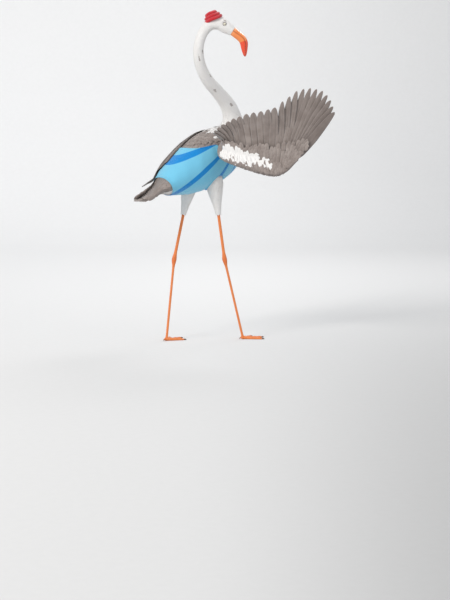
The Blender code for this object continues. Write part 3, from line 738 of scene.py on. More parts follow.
for number, (side, (_, _, _, _, _, toe_heading)) in enumerate(LEGS.items()):
    root = leg_points(side)[3]
    facing, spread = math.radians(toe_heading), 1 if side == "right" else -1
    ends = []
    for place, (angle, size) in enumerate(TOES.values()):
        heading = turned(facing + spread * math.radians(angle))
        beside = np.array([-heading[1], heading[0], 0])
        ends.append(root + heading * size * WEB_SHARE)

        def toe(u, v, heading=heading, beside=beside, root=root, size=size):
            pads = 1 + PAD_RISE * np.cos(v * 2 * np.pi * TOE_PADS)
            radius = np.interp(v, np.linspace(0, 1, 4), TOE_RADII) * pads
            radius = radius * np.where(v > TOE_TIP, 1 - 0.35 * (v - TOE_TIP) / 0.07, 1)
            turn = u * 2 * np.pi
            points = root + heading * (v * size)[:, None] + beside * (radius * np.cos(turn))[:, None]
            points = points + UP * (radius * (0.94 + np.sin(turn)) * 0.95)[:, None]
            points[:, 2] = np.maximum(points[:, 2], 0.0002)
            return points

        made = hide_part(f"toe_{side}_{place}", 18, 44, toe, leg_skin,
                         unwrap=island(0.55 + 0.03 * place + 0.1 * number, 0.02, 0.02, 0.07))
        scaled_like(made, 0.0042)
    for place, (first, second) in enumerate(zip(ends, ends[1:])):
        def web(across, out, root=root, first=first, second=second):
            across, out = across[:, None], out[:, None]
            hollow = 4 * across * (1 - across)
            edge = first + (second - first) * across
            dip = (first + second) / 2 * (1 - WEB_HOLLOW) + root * WEB_HOLLOW
            edge = edge * (1 - hollow) + dip * hollow
            points = root + (edge - root) * (0.06 + 0.94 * out)
            hollow = hollow[:, 0]
            points[:, 2] = 0.0021 + 0.0016 * (1 - hollow) + 0.0004 * np.sin(out[:, 0] * 30) * hollow
            return points

        made = hide_part(f"web_{side}_{place}", 20, 20, web, leg_skin, close=(False, False), merge=0.0,
                         joint=0.35)
        thickened(made, WEB_THICKNESS, 0)
        scaled_like(made, 0.0034)

    def hind_toe(u, v, root=root, back=turned(facing + math.pi)):
        line = (root + UP * 0.0105, root + back * HIND_TOE * 0.6 + UP * 0.0085,
                root + back * HIND_TOE + UP * HIND_HEIGHT)
        return round_line(line, (0.0044, 0.0036, 0.0024), u, v, UP)

    scaled_like(hide_part(f"hind_toe_{side}", 14, 12, hind_toe, leg_skin), 0.0040)


# Raised wing's arm: shoulder, elbow, wrist and hand, with the fold of skin in front of the elbow. The
# flight feathers are rooted along it.

ARM = (
    # x, y, z, radius
    (0.098, -0.062, 0.830, 0.0280),
    (-0.005, -0.185, 0.772, 0.0210),
    (0.124, -0.340, 0.708, 0.0155),
    (0.186, -0.413, 0.765, 0.0065),
)
ELBOW_FEATHER, WRIST_FEATHER = (-0.36, -0.06, 0.93), (-0.02, -0.12, 0.99)
FANS = {
    # places along the arm, directions and lengths from the first feather to the last
    "tertials": (0.66, 0.992, ((-0.26, -0.20, 0.94), ELBOW_FEATHER), (0.080, 0.115)),
    "secondaries": (1.008, 1.99, (ELBOW_FEATHER, (-0.22, -0.02, 0.97), WRIST_FEATHER), (0.120, 0.215, 0.275)),
    "primaries": (2.02, 2.97, (WRIST_FEATHER, (0.12, -0.23, 0.97), (0.26, -0.37, 0.89), (0.41, -0.51, 0.76)),
                  (0.285, 0.345, 0.320, 0.235)),
}
FAN_ARCH, FAN_DROOP, COVERT_REACH = 0.020, 0.030, 0.45


def arm(t):
    row = read(ARM, t)
    return row[..., :3] + STAND, row[..., 3]


fan_places, fan_directions, fan_lengths = [0.3], [unit(np.array([-0.20, -0.25, 0.94]))], [0.045]
for start, end, directions, lengths in FANS.values():
    for share in np.linspace(0, 1, 15):
        fan_places.append(start + (end - start) * share)
        fan_directions.append(unit(read(directions, share * (len(directions) - 1))))
        fan_lengths.append(float(read(np.array(lengths)[:, None], share * (len(lengths) - 1))[0]))


def fan(t):
    """Direction, length and dorsal face of the flight feathers rooted at places along the arm."""
    direction = unit(on_line(t, fan_places, fan_directions))
    tangent = arm(np.asarray(t) + 0.1)[0] - arm(np.asarray(t) - 0.1)[0]
    return direction, np.interp(t, fan_places, fan_lengths), unit(np.cross(direction, tangent))


def wing(t, travel, height, upper):
    """Points of the raised wing's surface, at a distance from its leading edge round the arm and outwards.

    upper is 1 for the side that faces up when the wing is spread and -1 for the side under it.
    """
    middle, radius = arm(t)
    direction, length, face = fan(t)
    turn = np.clip(travel / radius, 0, np.pi / 2)
    out = np.maximum(travel - radius * np.pi / 2, 0)
    reach = np.clip(out / length, 0, 1)
    slope = np.clip(out / np.maximum(COVERT_REACH * length, 1.2 * radius), 0, 1)
    thick = radius * (1 - slope * slope * (3 - 2 * slope)) + 0.0012 * reach + height
    arch = FAN_ARCH * np.sin(np.pi * reach) - FAN_DROOP * reach**2
    ahead = out - np.cos(turn) * thick
    off_tube = np.where(out > 0, np.sqrt(np.maximum(radius**2 - out**2, 0)) + height, 0)
    rise = upper * np.maximum(upper * arch + np.sin(turn) * thick, off_tube)
    return middle + direction * ahead[..., None] + face * rise[..., None]


def quill(t, out, height):
    """Points of the sheet that the flight feathers lie in, at a distance out from the arm's middle."""
    direction, length, face = fan(t)
    reach = out / length
    rise = FAN_ARCH * np.sin(np.pi * np.clip(reach, 0, 1)) - FAN_DROOP * reach**2 + height
    return arm(t)[0] + direction * out[..., None] + face * rise[..., None]


def arm_tube(u, v):
    t = 0.02 + 2.96 * v
    middle, radius = arm(t)
    tangent = unit(arm(t + 0.02)[0] - arm(t - 0.02)[0])
    return circled(middle, tangent, fan(t)[0], u * 2 * np.pi, radius - np.minimum(0.0032, radius * 0.25))


def white_lining(t, out):
    """The white patch under the wing, from the elbow along the forearm, with a scalloped outer edge."""
    share = np.clip((t - 0.90) / 1.06, 0, 1)
    last = 0.030 + 0.042 * np.sin(share * np.pi) ** 0.5 * (1 - 0.35 * share)
    first = 0.016 + 0.010 * share
    return ((share > 0) & (share < 1) & (out < last) & (out > first)).astype(float)


hide_part("arm", 32, 120, arm_tube, hide, unwrap=island(0.60, 0.1, 0.20, 0.41), brown=1)

FOLD_START, FOLD_END, FOLD_DRAWN_IN, FOLD_THICKNESS = 0.25, 1.85, 0.42, (0.0100, 0.0030)


def fold(share, reach, height, upper):
    """Points of the fold of skin in front of the elbow; reach is 0 at the arm and 1 at its free edge."""
    first, last, elbow = (arm(t)[0] for t in (FOLD_START, FOLD_END, 1.0))
    root = arm(FOLD_START + (FOLD_END - FOLD_START) * share)[0]
    drawn = (FOLD_DRAWN_IN * 4 * share * (1 - share))[..., None]
    edge = first + (last - first) * share[..., None]
    edge = edge + (elbow - edge) * drawn
    face = unit(np.cross(last - first, elbow - first))
    half = (FOLD_THICKNESS[0] + (FOLD_THICKNESS[1] - FOLD_THICKNESS[0]) * reach) / 2
    return root + (edge - root) * reach[..., None] + face * (upper * (half + height))[..., None]


def fold_plate(u, v):
    reach, turn = (1 - np.cos(u * 2 * np.pi)) / 2, np.sin(u * 2 * np.pi)
    return fold(0.07 + 0.86 * v, reach * 0.98, -0.0012, np.sign(turn) * np.abs(turn) ** 0.5)


hide_part("fold", 28, 50, fold_plate, hide, unwrap=island(0.55, 0.1, 0.10, 0.07), brown=1)


# Folded left wing's arm: a flat form along the side of the trunk, from the shoulder towards the tail

FOLDED_WING = (
    # station, upper and lower edge in degrees down from the back, thickness
    (9.05, 66, 80, 0.006), (8.80, 50, 100, 0.012), (8.20, 36, 108, 0.014), (7.00, 27, 107, 0.012),
    (5.80, 22, 105, 0.009), (4.70, 20, 101, 0.007), (3.80, 19, 92, 0.006), (2.90, 22, 78, 0.005),
    (2.00, 30, 62, 0.004),
)
WING_CLEARANCE, WING_ROUND, WING_STEP = (0.0016, 0.0034), (0.046, 0.034), (0.014, 0.008)
WING_RIM, WING_CROWN = 0.0012, 0.45
SUIT_EDGE = (np.array([-0.060, 0.0, 0.803]) + STAND, np.array([0.1351, 0.0, 0.9908]))
SUIT_TAIL = (np.array([-0.188, 0.0, 0.650]) + STAND, np.array([-0.883, 0.0, -0.469]))


def above_suit(points):
    """How far points lie above the bathing suit's scooped upper edge, which rises towards the shoulders."""
    ahead = np.clip((points[..., 0] - STAND[0] + 0.085) / 0.120, 0, 1)
    return (points - SUIT_EDGE[0]) @ SUIT_EDGE[1] + 0.004 - 0.030 * ahead * ahead * (3 - 2 * ahead)


def behind_suit(points):
    """How far points lie behind the bathing suit's edge at the tail."""
    return (points - SUIT_TAIL[0]) @ SUIT_TAIL[1]


def folded(t, share, height, outside=1.0):
    """Points of the folded wing: t along it from the shoulder, share from its upper to its lower edge."""
    row = read(FOLDED_WING, t)
    angle = np.radians(row[..., 1] + (row[..., 2] - row[..., 1]) * share)
    bare = above_suit(body(row[..., 0], angle, 0.0, WING_ROUND))
    dressed = np.clip((WING_STEP[0] - bare) / WING_STEP[1], 0, 1)
    clear = WING_CLEARANCE[0] + (WING_CLEARANCE[1] - WING_CLEARANCE[0]) * dressed
    crown = WING_RIM + row[..., 3] * (1 - (np.abs(share - WING_CROWN) / (1 - WING_CROWN)) ** 3)
    return body(row[..., 0], angle, clear + outside * crown + height, WING_ROUND)


def folded_plate(u, v):
    share, turn = (1 - np.cos(u * 2 * np.pi)) / 2, np.sin(u * 2 * np.pi)
    outside = np.where(turn > 0, 0.72 * np.abs(turn) ** 0.5, 0.02)
    return folded(0.04 + 3.1 * v, 0.02 + 0.96 * share, 0.0, outside)


hide_part("folded_arm", 40, 60, folded_plate, hide, unwrap=island(0.55, 0.2, 0.66, 0.2), brown=1)

deselect()
for piece in (*hide_parts, skin):
    piece.select_set(True)
bpy.context.view_layer.objects.active = skin
bpy.ops.object.join()
fitted(skin, "plumage_white", "trunk", "neck_lower", "neck_middle", "neck_upper", "head", "thigh_left",
       "thigh_right", "shank_left", "shank_right", "tarsus_left", "tarsus_right", "foot_left", "foot_right",
       "wing_right_upper_arm", "wing_right_forearm", "wing_right_hand", "wing_right_fold", "wing_left_arm")


# Feathers: each is a thin cupped vane with a shaft, rooted in the hide and lying over the next one. They
# are drawn tract by tract in rows that run round the body, and the tips point the way the coat lies.

rng = np.random.default_rng(7)
BODY_VANE = ((0.20, 0.48, 0.75, 0.92), (0.80, 1.00, 0.92, 0.52))  # places along it, and half widths there
BODY_ACROSS = (-1, -0.5, 0, 0.5, 1)
PATCH = 0.003  # across one feather's place on the unwrap


def vanes(name, place, a, b, step, length, width, low, high, unwrap, material, brown=0.0, dark=0.0,
          shape=BODY_VANE, across=BODY_ACROSS, cup=0.16, thickness=0.0003, pitch=0.0, lift=0.75,
          patch=PATCH, shaft=0.0, skew=0.0, ragged=0.06, bias=0.0, slot="plumage_grey_brown", stands_for=()):
    """Feathers as one mesh, fixed to the bird.

    place gives points from two surface coordinates and a height; a and b are where the roots are, and
    step is how far a and b move for each metre along a feather. low and high are the heights of the
    root and the tip. unwrap gives the roots' places on the hide's unwrap.
    """
    count = len(a)
    a, b, length, width, low, high, brown, dark, pitch, skew = (
        np.broadcast_to(np.asarray(value, float), (count,))
        for value in (a, b, length, width, low, high, brown, dark, pitch, skew))
    reaches = np.array([0.0, *shape[0], 1.0])
    halves = np.array([0.0, *shape[1], 0.0])
    centres, normals = [], []
    for reach in reaches:
        far = length * reach
        height = low + (high - low) * reach**lift
        spot = (a + step[0] * far, b + step[1] * far + skew * reach**2)
        point = place(*spot, height)
        normals.append(unit(place(*spot, height + 0.001) - point))
        centres.append(point)
    centres, normals = np.array(centres), np.array(normals)
    along = unit(np.gradient(centres, axis=0))
    beside = unit(np.cross(along, normals))
    normals = np.cross(beside, along)
    beneath = across[-2:0:-1] if len(across) > 5 else (0,)  # a small feather's underside is two plain strips
    over = np.array([*across, *beneath])
    under = np.array([0.0] * len(across) + [1.0] * len(beneath))
    ring = len(over)
    points = [centres[0][:, None]]
    for k in range(1, len(reaches) - 1):
        torn = 1 + ragged * rng.standard_normal((count, ring)) * (np.abs(over) > 0.9)
        half = (halves[k] * width / 2)[:, None] * torn
        drop = -cup * half * over**2 - thickness * under
        drop = drop + shaft * (1 - reaches[k]) * np.maximum(1 - np.abs(over) * 8, 0) * (1 - 2 * under)
        drop = drop + np.tan(pitch)[:, None] * half * over
        sideways = half * over * (1 + bias * np.sign(over))
        points.append(centres[k][:, None] + beside[k][:, None] * sideways[..., None]
                      + normals[k][:, None] * drop[..., None])
    points.append(centres[-1][:, None])
    points = np.concatenate(points, axis=1)
    each = points.shape[1]

    faces, vane_places, patch_places = [], [], []
    rows = len(reaches) - 2

    def corner(k, j):
        if k == 0 or k == rows + 1:
            return 0 if k == 0 else each - 1
        return 1 + (k - 1) * ring + j % ring

    def vane_place(k, j):
        side = 0.5 if k in (0, rows + 1) else (over[j % ring] + 1) / 2
        return (side, reaches[k])

    for k in range(rows + 1):
        for j in range(ring):
            quad = [(k, j), (k, j + 1), (k + 1, j + 1), (k + 1, j)]
            if k == 0:
                quad = [(0, j), (1, j + 1), (1, j)]
            elif k == rows:
                quad = [(k, j), (k, j + 1), (rows + 1, j)]
            faces.append([corner(*c) for c in quad])
            vane_places += [vane_place(*c) for c in quad]
            patch_places += [(c[1] / ring, c[0] / (rows + 1)) for c in quad]
    sizes = np.array([len(f) for f in faces])
    loops = np.concatenate([np.array(f) for f in faces])
    all_loops = (loops[None] + np.arange(count)[:, None] * each).ravel()
    starts = np.concatenate([[0], np.cumsum(np.tile(sizes, count))[:-1]])
    mesh = bpy.data.meshes.new(name)
    mesh.vertices.add(count * each)
    mesh.vertices.foreach_set("co", points.ravel())
    mesh.loops.add(len(all_loops))
    mesh.loops.foreach_set("vertex_index", all_loops)
    mesh.polygons.add(len(starts))
    mesh.polygons.foreach_set("loop_start", starts)
    vane_layer = mesh.uv_layers.new(name="vane")
    vane_layer.data.foreach_set("uv", np.tile(np.array(vane_places), (count, 1)).ravel())
    bake_layer = mesh.uv_layers.new(name="OFBake")
    spots = unwrap[:, None] + patch * (np.array(patch_places)[None] - 0.5)
    bake_layer.data.foreach_set("uv", spots.reshape(-1, 2).ravel())
    mesh.update(calc_edges=True)
    mesh.shade_smooth()
    mesh.materials.append(material)
    made = bpy.data.objects.new(name, mesh)
    bpy.context.scene.collection.objects.link(made)
    carry(made, brown=np.repeat(brown, each), dark=np.repeat(dark, each),
          tone=np.repeat(rng.random(count), each))
    return fitted(made, slot, *stands_for)


def girth(length):
    """The body's girth at a length along its line."""
    reach = body_frame(station_at(length))[4]
    return float(2 * np.pi * (reach[0] + (reach[1] + reach[2]) / 2) / 2)


COAT = (
    # station, pitch of the rows, feather length, width, how proud the tips stand of the solid's outline
    (1.5, 0.0085, 0.046, 0.0180, 0.0004),
    (4.0, 0.0090, 0.042, 0.0200, 0.0006),
    (8.0, 0.0085, 0.036, 0.0180, 0.0008),
    (10.0, 0.0060, 0.029, 0.0130, 0.0010),
    (12.0, 0.0042, 0.020, 0.0086, 0.0010),
    (15.0, 0.0033, 0.0150, 0.0062, 0.0008),
    (17.5, 0.0028, 0.0112, 0.0050, 0.0006),
    (18.5, 0.0023, 0.0078, 0.0038, 0.0004),
    (20.0, 0.0018, 0.0052, 0.0029, 0.0003),
    (21.0, 0.0014, 0.0034, 0.0021, 0.0002),
)


def coat_at(t):
    columns = np.array(COAT)
    return [np.interp(t, columns[:, 0], columns[:, k]) for k in range(1, 5)]


def row_pitch(length):
    """Distance from a row of the coat to the next one."""
    return float(coat_at(station_at(length))[0])


def rows_round(first, last):
    """Roots in offset rows between two lengths of the body line: lengths and angles."""
    lengths, angles, here, odd = [], [], first, 0
    while here > last:
        pitch = row_pitch(here)
        number = max(int(girth(here) / pitch), 6)
        turn = (np.arange(number) + odd / 2) / number * 2 * np.pi - np.pi
        lengths.append(np.full(number, here) + pitch * 0.35 * rng.uniform(-1, 1, number))
        angles.append(turn + rng.uniform(-0.28, 0.28, number) * 2 * np.pi / number)
        here, odd = here - pitch, 1 - odd
    return np.concatenate(lengths), np.concatenate(angles)


def on_body(length, angle, height):
    return body(station_at(length), angle, height)


# Small grey marks on the neck, one feather or two each: station and angle down from the back, in degrees
NECK_MARKS = ((16.0, -118), (15.55, -62), (14.35, -112), (13.55, -52), (12.25, -84), (14.0, 100), (12.9, 60),
              (15.1, 35), (11.8, 128), (16.4, 82))
MARK_SIZE, MARK_AHEAD, NECK_RADIUS = (0.0095, 0.0036), 0.004, 0.024
BARE_RING, BROW_SIZE, BROW_RISE = 0.0094, (0.0085, 0.0021), 0.0128
MARK_BROWN, PRESSED = 0.75, -0.0009  # how brown the marks are; how far feathers are pressed in under the suit
brow_ahead = body_frame(EYE_STATION)[1]  # the short grey brow over each eye follows the head's length


def body_coat(name, first, last, wanted=None):
    """Lay the feathers of a length of the body between two stations."""
    lengths, angles = rows_round(length_at(first), length_at(last))
    t = station_at(lengths)
    _, length, width, proud = coat_at(t)
    roots = on_body(lengths, angles, 0.0)
    keep = np.ones(len(t), bool)
    for eye in EYES:
        out, off, _ = near_eye(roots, eye)
        keep &= ~((out > 0) & (off < BARE_RING))
    if wanted is not None:
        keep &= wanted(t, angles, roots)
    lengths, angles, t, length, width, proud = (x[keep] for x in (lengths, angles, t, length, width, proud))
    length = length * rng.uniform(0.88, 1.12, len(t))
    brown = mantle(t, angles)
    marks = np.zeros(len(t))
    for station, degrees in NECK_MARKS:
        ahead = (lengths - length_at(station) - MARK_AHEAD) / MARK_SIZE[0]
        aside = (angles - math.radians(degrees)) * NECK_RADIUS / MARK_SIZE[1]
        marks[np.hypot(ahead, aside) < 1] = 1
    for eye in EYES:
        out, _, _ = near_eye(roots[keep], eye)
        beside = (roots[keep] - eye - brow_ahead * 0.0010) @ brow_ahead
        above = (roots[keep] - eye) @ eye_up
        brow = np.hypot(beside / BROW_SIZE[0], (above - BROW_RISE - beside * 0.1) / BROW_SIZE[1])
        marks[(out > 0) & (brow < 1)] = 1
    brown = np.maximum(brown, marks * MARK_BROWN)
    depth = skin_depth(t)
    low, high = -depth - 0.0008, proud
    dressed = (above_suit(on_body(lengths - length, angles, 0.0)) < 0.012) & (t < 10.6)
    high = np.where(dressed, PRESSED, high)
    vanes(name, on_body, lengths, angles, (-1.0, 0.0), length, width, low, high, body_map(t, angles),
          small_feathers, brown=brown, lift=0.28, cup=0.05, ragged=0.09, slot="plumage_white",
          skew=rng.normal(0, 0.05, len(t)) * width / 0.02)


def outside_suit(t, angle, roots):
    """Keep only feathers that show past the bathing suit's edges, and thin out those on the tail's edges."""
    above = above_suit(roots) > -0.012
    behind = behind_suit(roots) > -0.050
    reach = body_frame(t)[4]
    height = np.where(np.cos(angle) > 0, reach[:, 1], reach[:, 2])
    spread = np.hypot(reach[:, 0] * np.cos(angle), height * np.sin(angle)) / np.maximum(reach[:, 0], height)
    loose = (rng.random(len(t)) < spread * 1.25) | (t > 4.8)
    return (above | behind) & loose & ((np.abs(angle) < 1.8) | (t > 2.7))


COAT_STRETCHES = (("face", 20.99, 18.9), ("nape", 18.9, 17.0), ("neck", 17.0, 12.6), ("neck_foot", 12.6, 9.9))
for name, first, last in COAT_STRETCHES:
    body_coat(f"feathers_{name}", first, last)
body_coat("feathers_trunk", 9.9, 2.0, outside_suit)

# Thigh feathers: short white feathers in rings round each thigh, from the hip down to a cuff above the leg
for side in LEGS:
    hip, feather_end, _, _ = leg_points(side)
    thigh_length = np.linalg.norm(feather_end - hip)

    def on_thigh(share, angle, height, side=side):
        return thigh(side, share, angle, height)

    shares, angles, here, odd = [], [], -0.02, 0
    while here < 0.97:
        pitch = 0.0052 - 0.0016 * here
        number = int(2 * np.pi * thigh_radius(here) / pitch)
        shares.append(np.full(number, here) + rng.uniform(-0.012, 0.012, number))
        angles.append((np.arange(number) + odd / 2) / number * 2 * np.pi + rng.uniform(-0.05, 0.05, number))
        here, odd = here + pitch / thigh_length, 1 - odd
    shares, angles = np.concatenate(shares), np.concatenate(angles)
    length = np.interp(shares, (0, 1), (0.023, 0.0105)) * rng.uniform(0.85, 1.1, len(shares))
    places = np.stack([0.58 + 0.2 * (side == "left") + angles * 0.018,
                       0.03 + shares * thigh_length / MAP_SCALE], -1)
    vanes(f"feathers_thigh_{side}", on_thigh, shares, angles, (1 / thigh_length, 0.0), length, length * 0.46,
          -0.0048 + 0.0030 * shares, 0.0006, places, small_feathers, lift=0.42, cup=0.07, ragged=0.09,
          skew=rng.normal(0, 0.12, len(shares)), slot="plumage_white")


# Tail: twelve broad flight feathers, rooted in the end of the body and laid over one another in a fan. The
# middle pair lies on top.

def tail_sheet(length, across, height):
    """Points of the fan that the tail feathers lie in; across runs from -1 to 1."""
    middle, _, left, up, _ = body_frame(np.maximum(station_at(length), 0.0))
    spread = np.interp(length, (0, length_at(TAIL_ROOT + 0.4)), (0.043, 0.030))
    sag = -0.0035 * across**2 * spread / 0.043
    return middle + STAND + left * (across * spread)[..., None] + up * (sag + height)[..., None]


tail_across = np.array([s * c for c in (0.94, 0.77, 0.60, 0.43, 0.26, 0.09) for s in (1, -1)])
FLIGHT_VANE = (np.array([0.04, 0.10, 0.18, 0.28, 0.38, 0.48, 0.58, 0.68, 0.77, 0.85, 0.91, 0.955, 0.985]),
               np.array([0.35, 0.62, 0.82, 0.94, 1.0, 1.0, 0.99, 0.97, 0.94, 0.87, 0.75, 0.56, 0.32]))
FLIGHT_ACROSS = (-1, -0.75, -0.5, -0.25, -0.06, 0, 0.06, 0.25, 0.5, 0.75, 1)


def flight_vanes(name, place, a, b, step, length, width, low, high, shares, **kind):
    """A few large feathers as one mesh, each with a strip of its own on the unwrap, beside the others."""
    strips = np.stack([shares, np.full(len(shares), 0.5)], -1)
    kind = {"shape": FLIGHT_VANE, **kind}
    vanes(name, place, a, b, step, length, width, low, high, strips, flight_feathers, brown=1,
          across=FLIGHT_ACROSS, thickness=0.0005, **kind)


tail_start = length_at(TAIL_ROOT + 0.1)
tail_lengths = tail_start * (0.985 - 0.10 * tail_across**2)
flight_vanes("tail_feathers", tail_sheet, np.full(12, tail_start), tail_across, (-1.0, 0.0), tail_lengths,
             0.021, -0.0022, 0.0024 * (1 - np.abs(tail_across)) - 0.0010, 0.04 + 0.07 * np.arange(12),
             dark=0.15, cup=0.05, patch=0.066, pitch=np.radians(7) * np.sign(tail_across), shaft=0.0006,
             ragged=0.02, stands_for=["tail"])


# Raised wing's flight feathers: four tertials, eleven secondaries and eleven primaries, each rooted on the
# arm and tilted so that its broad trailing vane slips under the next feather's narrow leading vane

FLIGHT_SIZES = {"tertials": (4, 0.034), "secondaries": (11, 0.037), "primaries": (11, 0.036)}  # number, width
QUILL_ROOT = 0.006  # how far out from the arm's middle the feathers start
PRIMARY_VANE = (FLIGHT_VANE[0], (0.42, 0.68, 0.86, 0.97, 1.0, 0.98, 0.93, 0.86, 0.77, 0.66, 0.54, 0.40, 0.24))
for group, (start, end, _, _) in FANS.items():
    count, width = FLIGHT_SIZES[group]
    share = (np.arange(count) + 0.5) / count
    t = start + (end - start) * share
    length = fan(t)[1] * rng.uniform(0.985, 1.0, count)
    dark = 0.10 + 0.55 * share**1.5 if group == "primaries" else 0.08 * rng.random(count)
    flight_vanes(f"{group}_right", quill, t, np.full(count, QUILL_ROOT), (0.0, 1.0), length - QUILL_ROOT,
                 width, -0.0004, 0.0006 * np.sin(np.arange(count) * 2.4), 0.03 + 0.94 * share, dark=dark,
                 cup=0.06, shape=PRIMARY_VANE if group == "primaries" else FLIGHT_VANE, pitch=np.radians(-9),
                 patch=0.9 / count, shaft=0.0009, ragged=0.025, bias=0.24, stands_for=[f"wing_right_{group}"])


# Coverts of the raised wing: small close feathers along the arm's edge, growing row by row to the long ones
# that hide the roots of the flight feathers. The patch of white ones lies under the forearm.

COVERT_VANE = ((0.14, 0.32, 0.52, 0.72, 0.86, 0.95), (0.62, 0.90, 1.00, 0.98, 0.82, 0.52))
ARM_PLACES = np.linspace(0, 3, 301)
ARM_LENGTHS = run_lengths(arm(ARM_PLACES)[0])
COVERT_ROWS = (0.0012, 0.16)  # the first and the last row, from the leading edge round the arm
COVERT_SIZES = ((0, 0.02, 0.05, 0.12), (0.0050, 0.0080, 0.0120, 0.0160))  # rows, and feathers' spacing there
NEAR_SHOULDER = 0.95  # place along the arm up to which the coverts are kept short and straight
FOLD_ROWS = (0.985, 0.10)  # the first and the last row across the fold, from its free edge
for upper, side_name, map_left in ((-1, "under", 0.55), (1, "over", 0.77)):
    places, travels, sizes, edges, from_edge, odd = [], [], [], [], COVERT_ROWS[0], 0
    while from_edge < COVERT_ROWS[1]:
        size = float(np.interp(from_edge, *COVERT_SIZES))
        spots = np.arange(0.012 + odd * size * 0.45, ARM_LENGTHS[-1] - 0.003, size * 0.92)
        t = np.interp(spots + rng.uniform(-0.10, 0.10, len(spots)) * size, ARM_LENGTHS, ARM_PLACES)
        travel = from_edge + rng.uniform(-0.10, 0.10, len(t)) * size
        radius, reach = arm(t)[1], fan(t)[1]
        limit = np.where(t < 0.62, (0.70 - 0.25 * upper) * radius,
                         reach * np.interp(t, (0.62, 1.05), (0.55, 0.27)))
        keep = (travel - radius * np.pi / 2 < limit) & (travel > 0)
        places.append(t[keep])
        travels.append(travel[keep])
        sizes.append(np.full(keep.sum(), size))
        edges.append(np.full(keep.sum(), from_edge))
        from_edge, odd = from_edge + size * 0.85, 1 - odd
    t, travel, size = np.concatenate(places), np.concatenate(travels), np.concatenate(sizes)
    radius = arm(t)[1]
    size = size * np.interp(t, (0, 1, 2, 3), (1.0, 1.0, 0.95, 0.62))
    length = size * 2.9 * rng.uniform(0.94, 1.06, len(t))
    tip_room = radius * (np.pi / 2 + np.interp(t, (0.30, 0.66, 0.95), (1.22, 2.4, 4.0))) - travel
    length = np.where(t < NEAR_SHOULDER, np.clip(tip_room, 0.011, length), length)
    brown = 1 - white_lining(t, np.concatenate(edges)) if upper < 0 else np.ones(len(t))

    def on_wing(t, travel, height, upper=upper):
        return wing(t, travel, height, upper)

    along_arm = np.interp(t, ARM_PLACES, ARM_LENGTHS)
    places = np.stack([map_left + travel / MAP_SCALE, 0.20 + along_arm / MAP_SCALE], -1)
    vanes(f"coverts_{side_name}", on_wing, t, travel, (0.0, 1.0), length, size * 1.45,
          -np.minimum(0.0035, radius * 0.2), 0.0012, places, covert_feathers, brown=brown, cup=0.10, lift=0.6,
          skew=rng.normal(0, 0.01, len(t)) * np.where(t < NEAR_SHOULDER, 0.14, 1.0), shape=COVERT_VANE,
          pitch=np.radians(7 * upper), across=FLIGHT_ACROSS, thickness=0.0004, ragged=0.03)

    shares, reaches, across_fold, odd = [], [], FOLD_ROWS[0], 0
    while across_fold > FOLD_ROWS[1]:
        size = 0.0052 + 0.0040 * (1 - across_fold)
        spots = np.arange(0.065 + odd * 0.008, 0.93, size * 0.92 / 0.235)
        shares.append(spots + rng.uniform(-0.004, 0.004, len(spots)))
        reaches.append(np.full(len(spots), across_fold))
        across_fold, odd = across_fold - size * 0.8 / 0.055, 1 - odd
    share, reach = np.concatenate(shares), np.concatenate(reaches)
    half_fold = np.linalg.norm(fold(share, share * 0 + 1, 0, 0) - fold(share, share * 0, 0, 0), axis=-1)
    keep = half_fold > 0.012
    share, reach, half_fold = share[keep], reach[keep], half_fold[keep]
    length = np.minimum(0.021 * rng.uniform(0.85, 1.1, len(share)), half_fold * 0.9)

    def on_fold(share, reach, height, upper=upper):
        return fold(share, np.clip(reach, 0, 1), height, -upper)

    places = np.stack([map_left + 0.02 + 0.06 * reach, 0.66 + 0.2 * share], -1)
    vanes(f"fold_coverts_{side_name}", on_fold, share, reach, (0.0, -1 / half_fold), length, length * 0.5,
          -0.0016, 0.0010, places, small_feathers, brown=1, lift=0.6)


# Folded left wing: scapulars over its upper edge, rows of coverts over the arm, long tertials and
# secondaries laid over one another down its side, and the tips of the primaries past the rump

FOLDED_PLACES = np.linspace(0, 8, 161)
FOLDED_LENGTHS = run_lengths(folded(FOLDED_PLACES, np.full(161, WING_CROWN), 0.0))


def on_folded(length, share, height):
    return folded(np.clip(np.interp(length, FOLDED_LENGTHS, FOLDED_PLACES), 0, 8), share, height)


def folded_map(length, share):
    return np.stack([0.55 + 0.16 * share, 0.62 + length / MAP_SCALE], -1)


def covert_size(length):
    """Width of the rows of coverts on the folded wing, wider towards its tip."""
    return np.interp(length, (0, 0.05, 0.15, 0.24), (0.0055, 0.0090, 0.0135, 0.0175))


folded_reach = FOLDED_LENGTHS[-1]
spots, shares, here, odd = [], [], 0.002, 0
while here < 0.56 * folded_reach:
    size = float(covert_size(here))
    row = read(FOLDED_WING, np.interp(here, FOLDED_LENGTHS, FOLDED_PLACES))
    span = np.radians(row[2] - row[1]) * 0.11
    number = max(int(span / (size * 0.82)), 3)
    even = (np.arange(number) + (0.75 if odd else 0.25)) / number
    shares.append(even + rng.uniform(-0.012, 0.012, number))
    spots.append(here + rng.uniform(-0.25, 0.25, number) * size)
    here, odd = here + size * 0.9, 1 - odd
spots, shares = np.concatenate(spots), np.clip(np.concatenate(shares), 0.01, 0.99)
size = covert_size(spots)
vanes("coverts_left", on_folded, spots, shares, (1.0, 0.0), size * 3.2 * rng.uniform(0.9, 1.1, len(spots)),
      size * 1.9, -0.0038, 0.0014, folded_map(spots, shares), small_feathers, brown=1, cup=0.14, lift=0.6)

